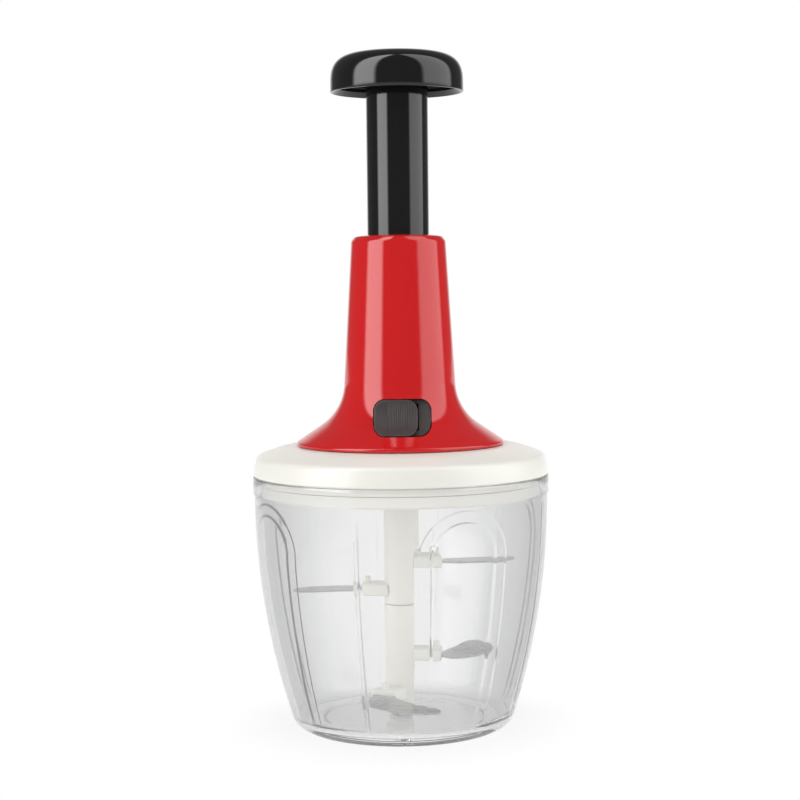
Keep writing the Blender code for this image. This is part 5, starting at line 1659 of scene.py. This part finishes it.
@dataclass
class Studio:
    """Floor, backdrop, lamps and camera."""

    sizes: StudioSizes = StudioSizes()

    def floor(self) -> None:
        """Lay the plain pale floor, which keeps the object's shadow."""
        s = self.sizes
        half = s.floor_size / 2
        mesh = bpy.data.meshes.new("floor")
        mesh.from_pydata([(-half, -half, 0), (half, -half, 0), (half, half, 0), (-half, half, 0)],
                         [], [(0, 1, 2, 3)])
        floor = linked("floor", mesh)
        material = bpy.data.materials.new("floor_look")
        material.use_nodes = True
        sheet = NodeSheet(material.node_tree)
        shader = material.node_tree.nodes["Principled BSDF"]
        shader.inputs["Base Color"].default_value = (*[s.floor_grey] * 3, 1.0)
        shader.inputs["Roughness"].default_value = s.floor_roughness
        shader.inputs["Specular IOR Level"].default_value = s.floor_gloss
        path = sheet.add("ShaderNodeLightPath").outputs
        where = sheet.add("ShaderNodeTexCoord").outputs["Object"]
        away = sheet.add("ShaderNodeVectorMath", {0: where}, operation='LENGTH').outputs["Value"]
        far = sheet.ramp(away, s.shadow_radius, s.white_radius, s.shadow_share, 1.0)
        looked = sheet.math('MAXIMUM', path["Is Glossy Ray"], path["Is Transmission Ray"])
        looked = sheet.math('MAXIMUM', looked, path["Is Camera Ray"])
        share = sheet.math('MULTIPLY', far, looked)
        white = sheet.add("ShaderNodeEmission", {"Color": (1.0, 1.0, 1.0, 1.0), "Strength": 1.0})
        mix = sheet.add("ShaderNodeMixShader", {0: share, 1: shader.outputs[0], 2: white.outputs[0]})
        sheet.put(sheet.tree.nodes["Material Output"].inputs["Surface"], mix.outputs[0])
        floor.data.materials.append(material)

    def panel_light(self, sheet: NodeSheet, split: object) -> bpy.types.NodeSocket:
        """Strength of the lamps' bright sides in one direction.

        Args:
            sheet: The world's nodes.
            split: The direction's X, Y and Z sockets.

        Returns:
            The strength's socket.
        """
        s = self.sizes
        around = sheet.math('ARCTAN2', split["X"], sheet.math('MULTIPLY', split["Y"], -1.0))
        up = sheet.math('ARCSINE', split["Z"])
        edge = math.radians(s.panel_edge)
        low, high = math.radians(s.panel_low), math.radians(s.panel_high)
        above = sheet.ramp(up, low, low + edge, 0.0, 1.0)
        below = sheet.ramp(up, high - edge, high, 1.0, 0.0)
        level: object = 0.0
        for panel in s.panels:
            middle, half = math.radians(panel.azimuth), math.radians(panel.half_width)
            away = sheet.math('ABSOLUTE', sheet.math('SUBTRACT', around, middle))
            share = sheet.ramp(away, half - edge / 2, half + edge / 2, panel.strength, 0.0)
            level = sheet.math('ADD', level, share)
        return sheet.math('MULTIPLY', level, sheet.math('MULTIPLY', above, below))

    def world(self) -> None:
        """Fill in from all round, with a white backdrop behind the object."""
        s = self.sizes
        world = bpy.data.worlds.new("studio")
        bpy.context.scene.world = world
        world.use_nodes = True
        world.node_tree.nodes.clear()
        sheet = NodeSheet(world.node_tree)
        path = sheet.add("ShaderNodeLightPath").outputs
        way = sheet.add("ShaderNodeTexCoord").outputs["Generated"]
        split = sheet.add("ShaderNodeSeparateXYZ", {0: way}).outputs
        rear = sheet.ramp(split["Y"], *s.backdrop, 0.0, 1.0)
        panels = self.panel_light(sheet, split)
        mirrored = sheet.math('ADD', sheet.mix(rear, s.mirror_fill, 1.0), panels)
        inner = sheet.math('MULTIPLY', panels, s.inner_share)
        through = sheet.math('ADD', sheet.mix(rear, s.through_fill, 1.0), inner)
        passed = sheet.math('GREATER_THAN', path["Transmission Depth"], 0.5)
        passed = sheet.math('MULTIPLY', passed, sheet.math('SUBTRACT', 1.0, path["Is Diffuse Ray"]))
        level = sheet.mix(path["Is Glossy Ray"], s.soft_fill, mirrored)
        level = sheet.mix(path["Is Camera Ray"], sheet.mix(passed, level, through), 1.0)
        light = sheet.add("ShaderNodeBackground", {"Color": (1.0, 1.0, 1.0, 1.0), "Strength": level})
        outlet = sheet.add("ShaderNodeOutputWorld")
        sheet.put(outlet.inputs["Surface"], light.outputs[0])

    def lamps(self) -> None:
        """Set up the soft boxes."""
        centre = Vector((0, 0, self.sizes.centre_z))
        for lamp in self.sizes.lamps:
            data = bpy.data.lights.new(lamp.name, 'AREA')
            data.shape = 'RECTANGLE'
            data.size = lamp.width
            data.size_y = lamp.tall
            data.energy = lamp.radiance * math.pi * lamp.width * lamp.tall
            item = linked(lamp.name, data)
            around, up = math.radians(lamp.azimuth), math.radians(lamp.elevation)
            away = Vector((math.sin(around) * math.cos(up), -math.cos(around) * math.cos(up), math.sin(up)))
            item.location = centre + away * lamp.distance
            item.visible_glossy = False
            item.visible_transmission = False
            item.rotation_euler = away.to_track_quat('Z', 'Y').to_euler()

    def camera(self) -> None:
        """Set up the camera at the photograph's viewing angle."""
        s = self.sizes
        data = bpy.data.cameras.new("camera")
        data.sensor_width = s.sensor
        data.lens = s.sensor * s.focal_pixels / s.image_pixels
        data.clip_start = s.clip_start
        item = linked("camera", data)
        item.location = (0, -s.camera_distance, s.camera_height)
        level = Euler((math.radians(90 - s.tilt), 0, 0)).to_matrix()
        item.rotation_euler = (level @ Matrix.Rotation(math.radians(-s.roll), 3, 'Z')).to_euler()
        bpy.context.scene.camera = item

    def build(self) -> None:
        """Set up the whole studio."""
        self.floor()
        self.world()
        self.lamps()
        self.camera()
        bpy.context.scene.view_settings.view_transform = 'Standard'


def main() -> None:
    """Build the looks of the chopper and its studio, and log which piece shows each imported part."""
    logging.basicConfig(level=logging.INFO)
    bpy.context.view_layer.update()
    housing = HousingSizes()
    for part in (ClearBowl(), Cutter(), Lid(), Housing(housing), LockButton(housing), Plunger()):
        part.build()
        part.dress()
        for item in part.made:
            LOG.info("%s is shown by %s", item.node, item.piece.name)
    others = PackedParts(frame["nodes"], frame["record"])
    others.dress()
    others.squeeze_spring()
    Studio().build()


if __name__ == "__main__":
    main()
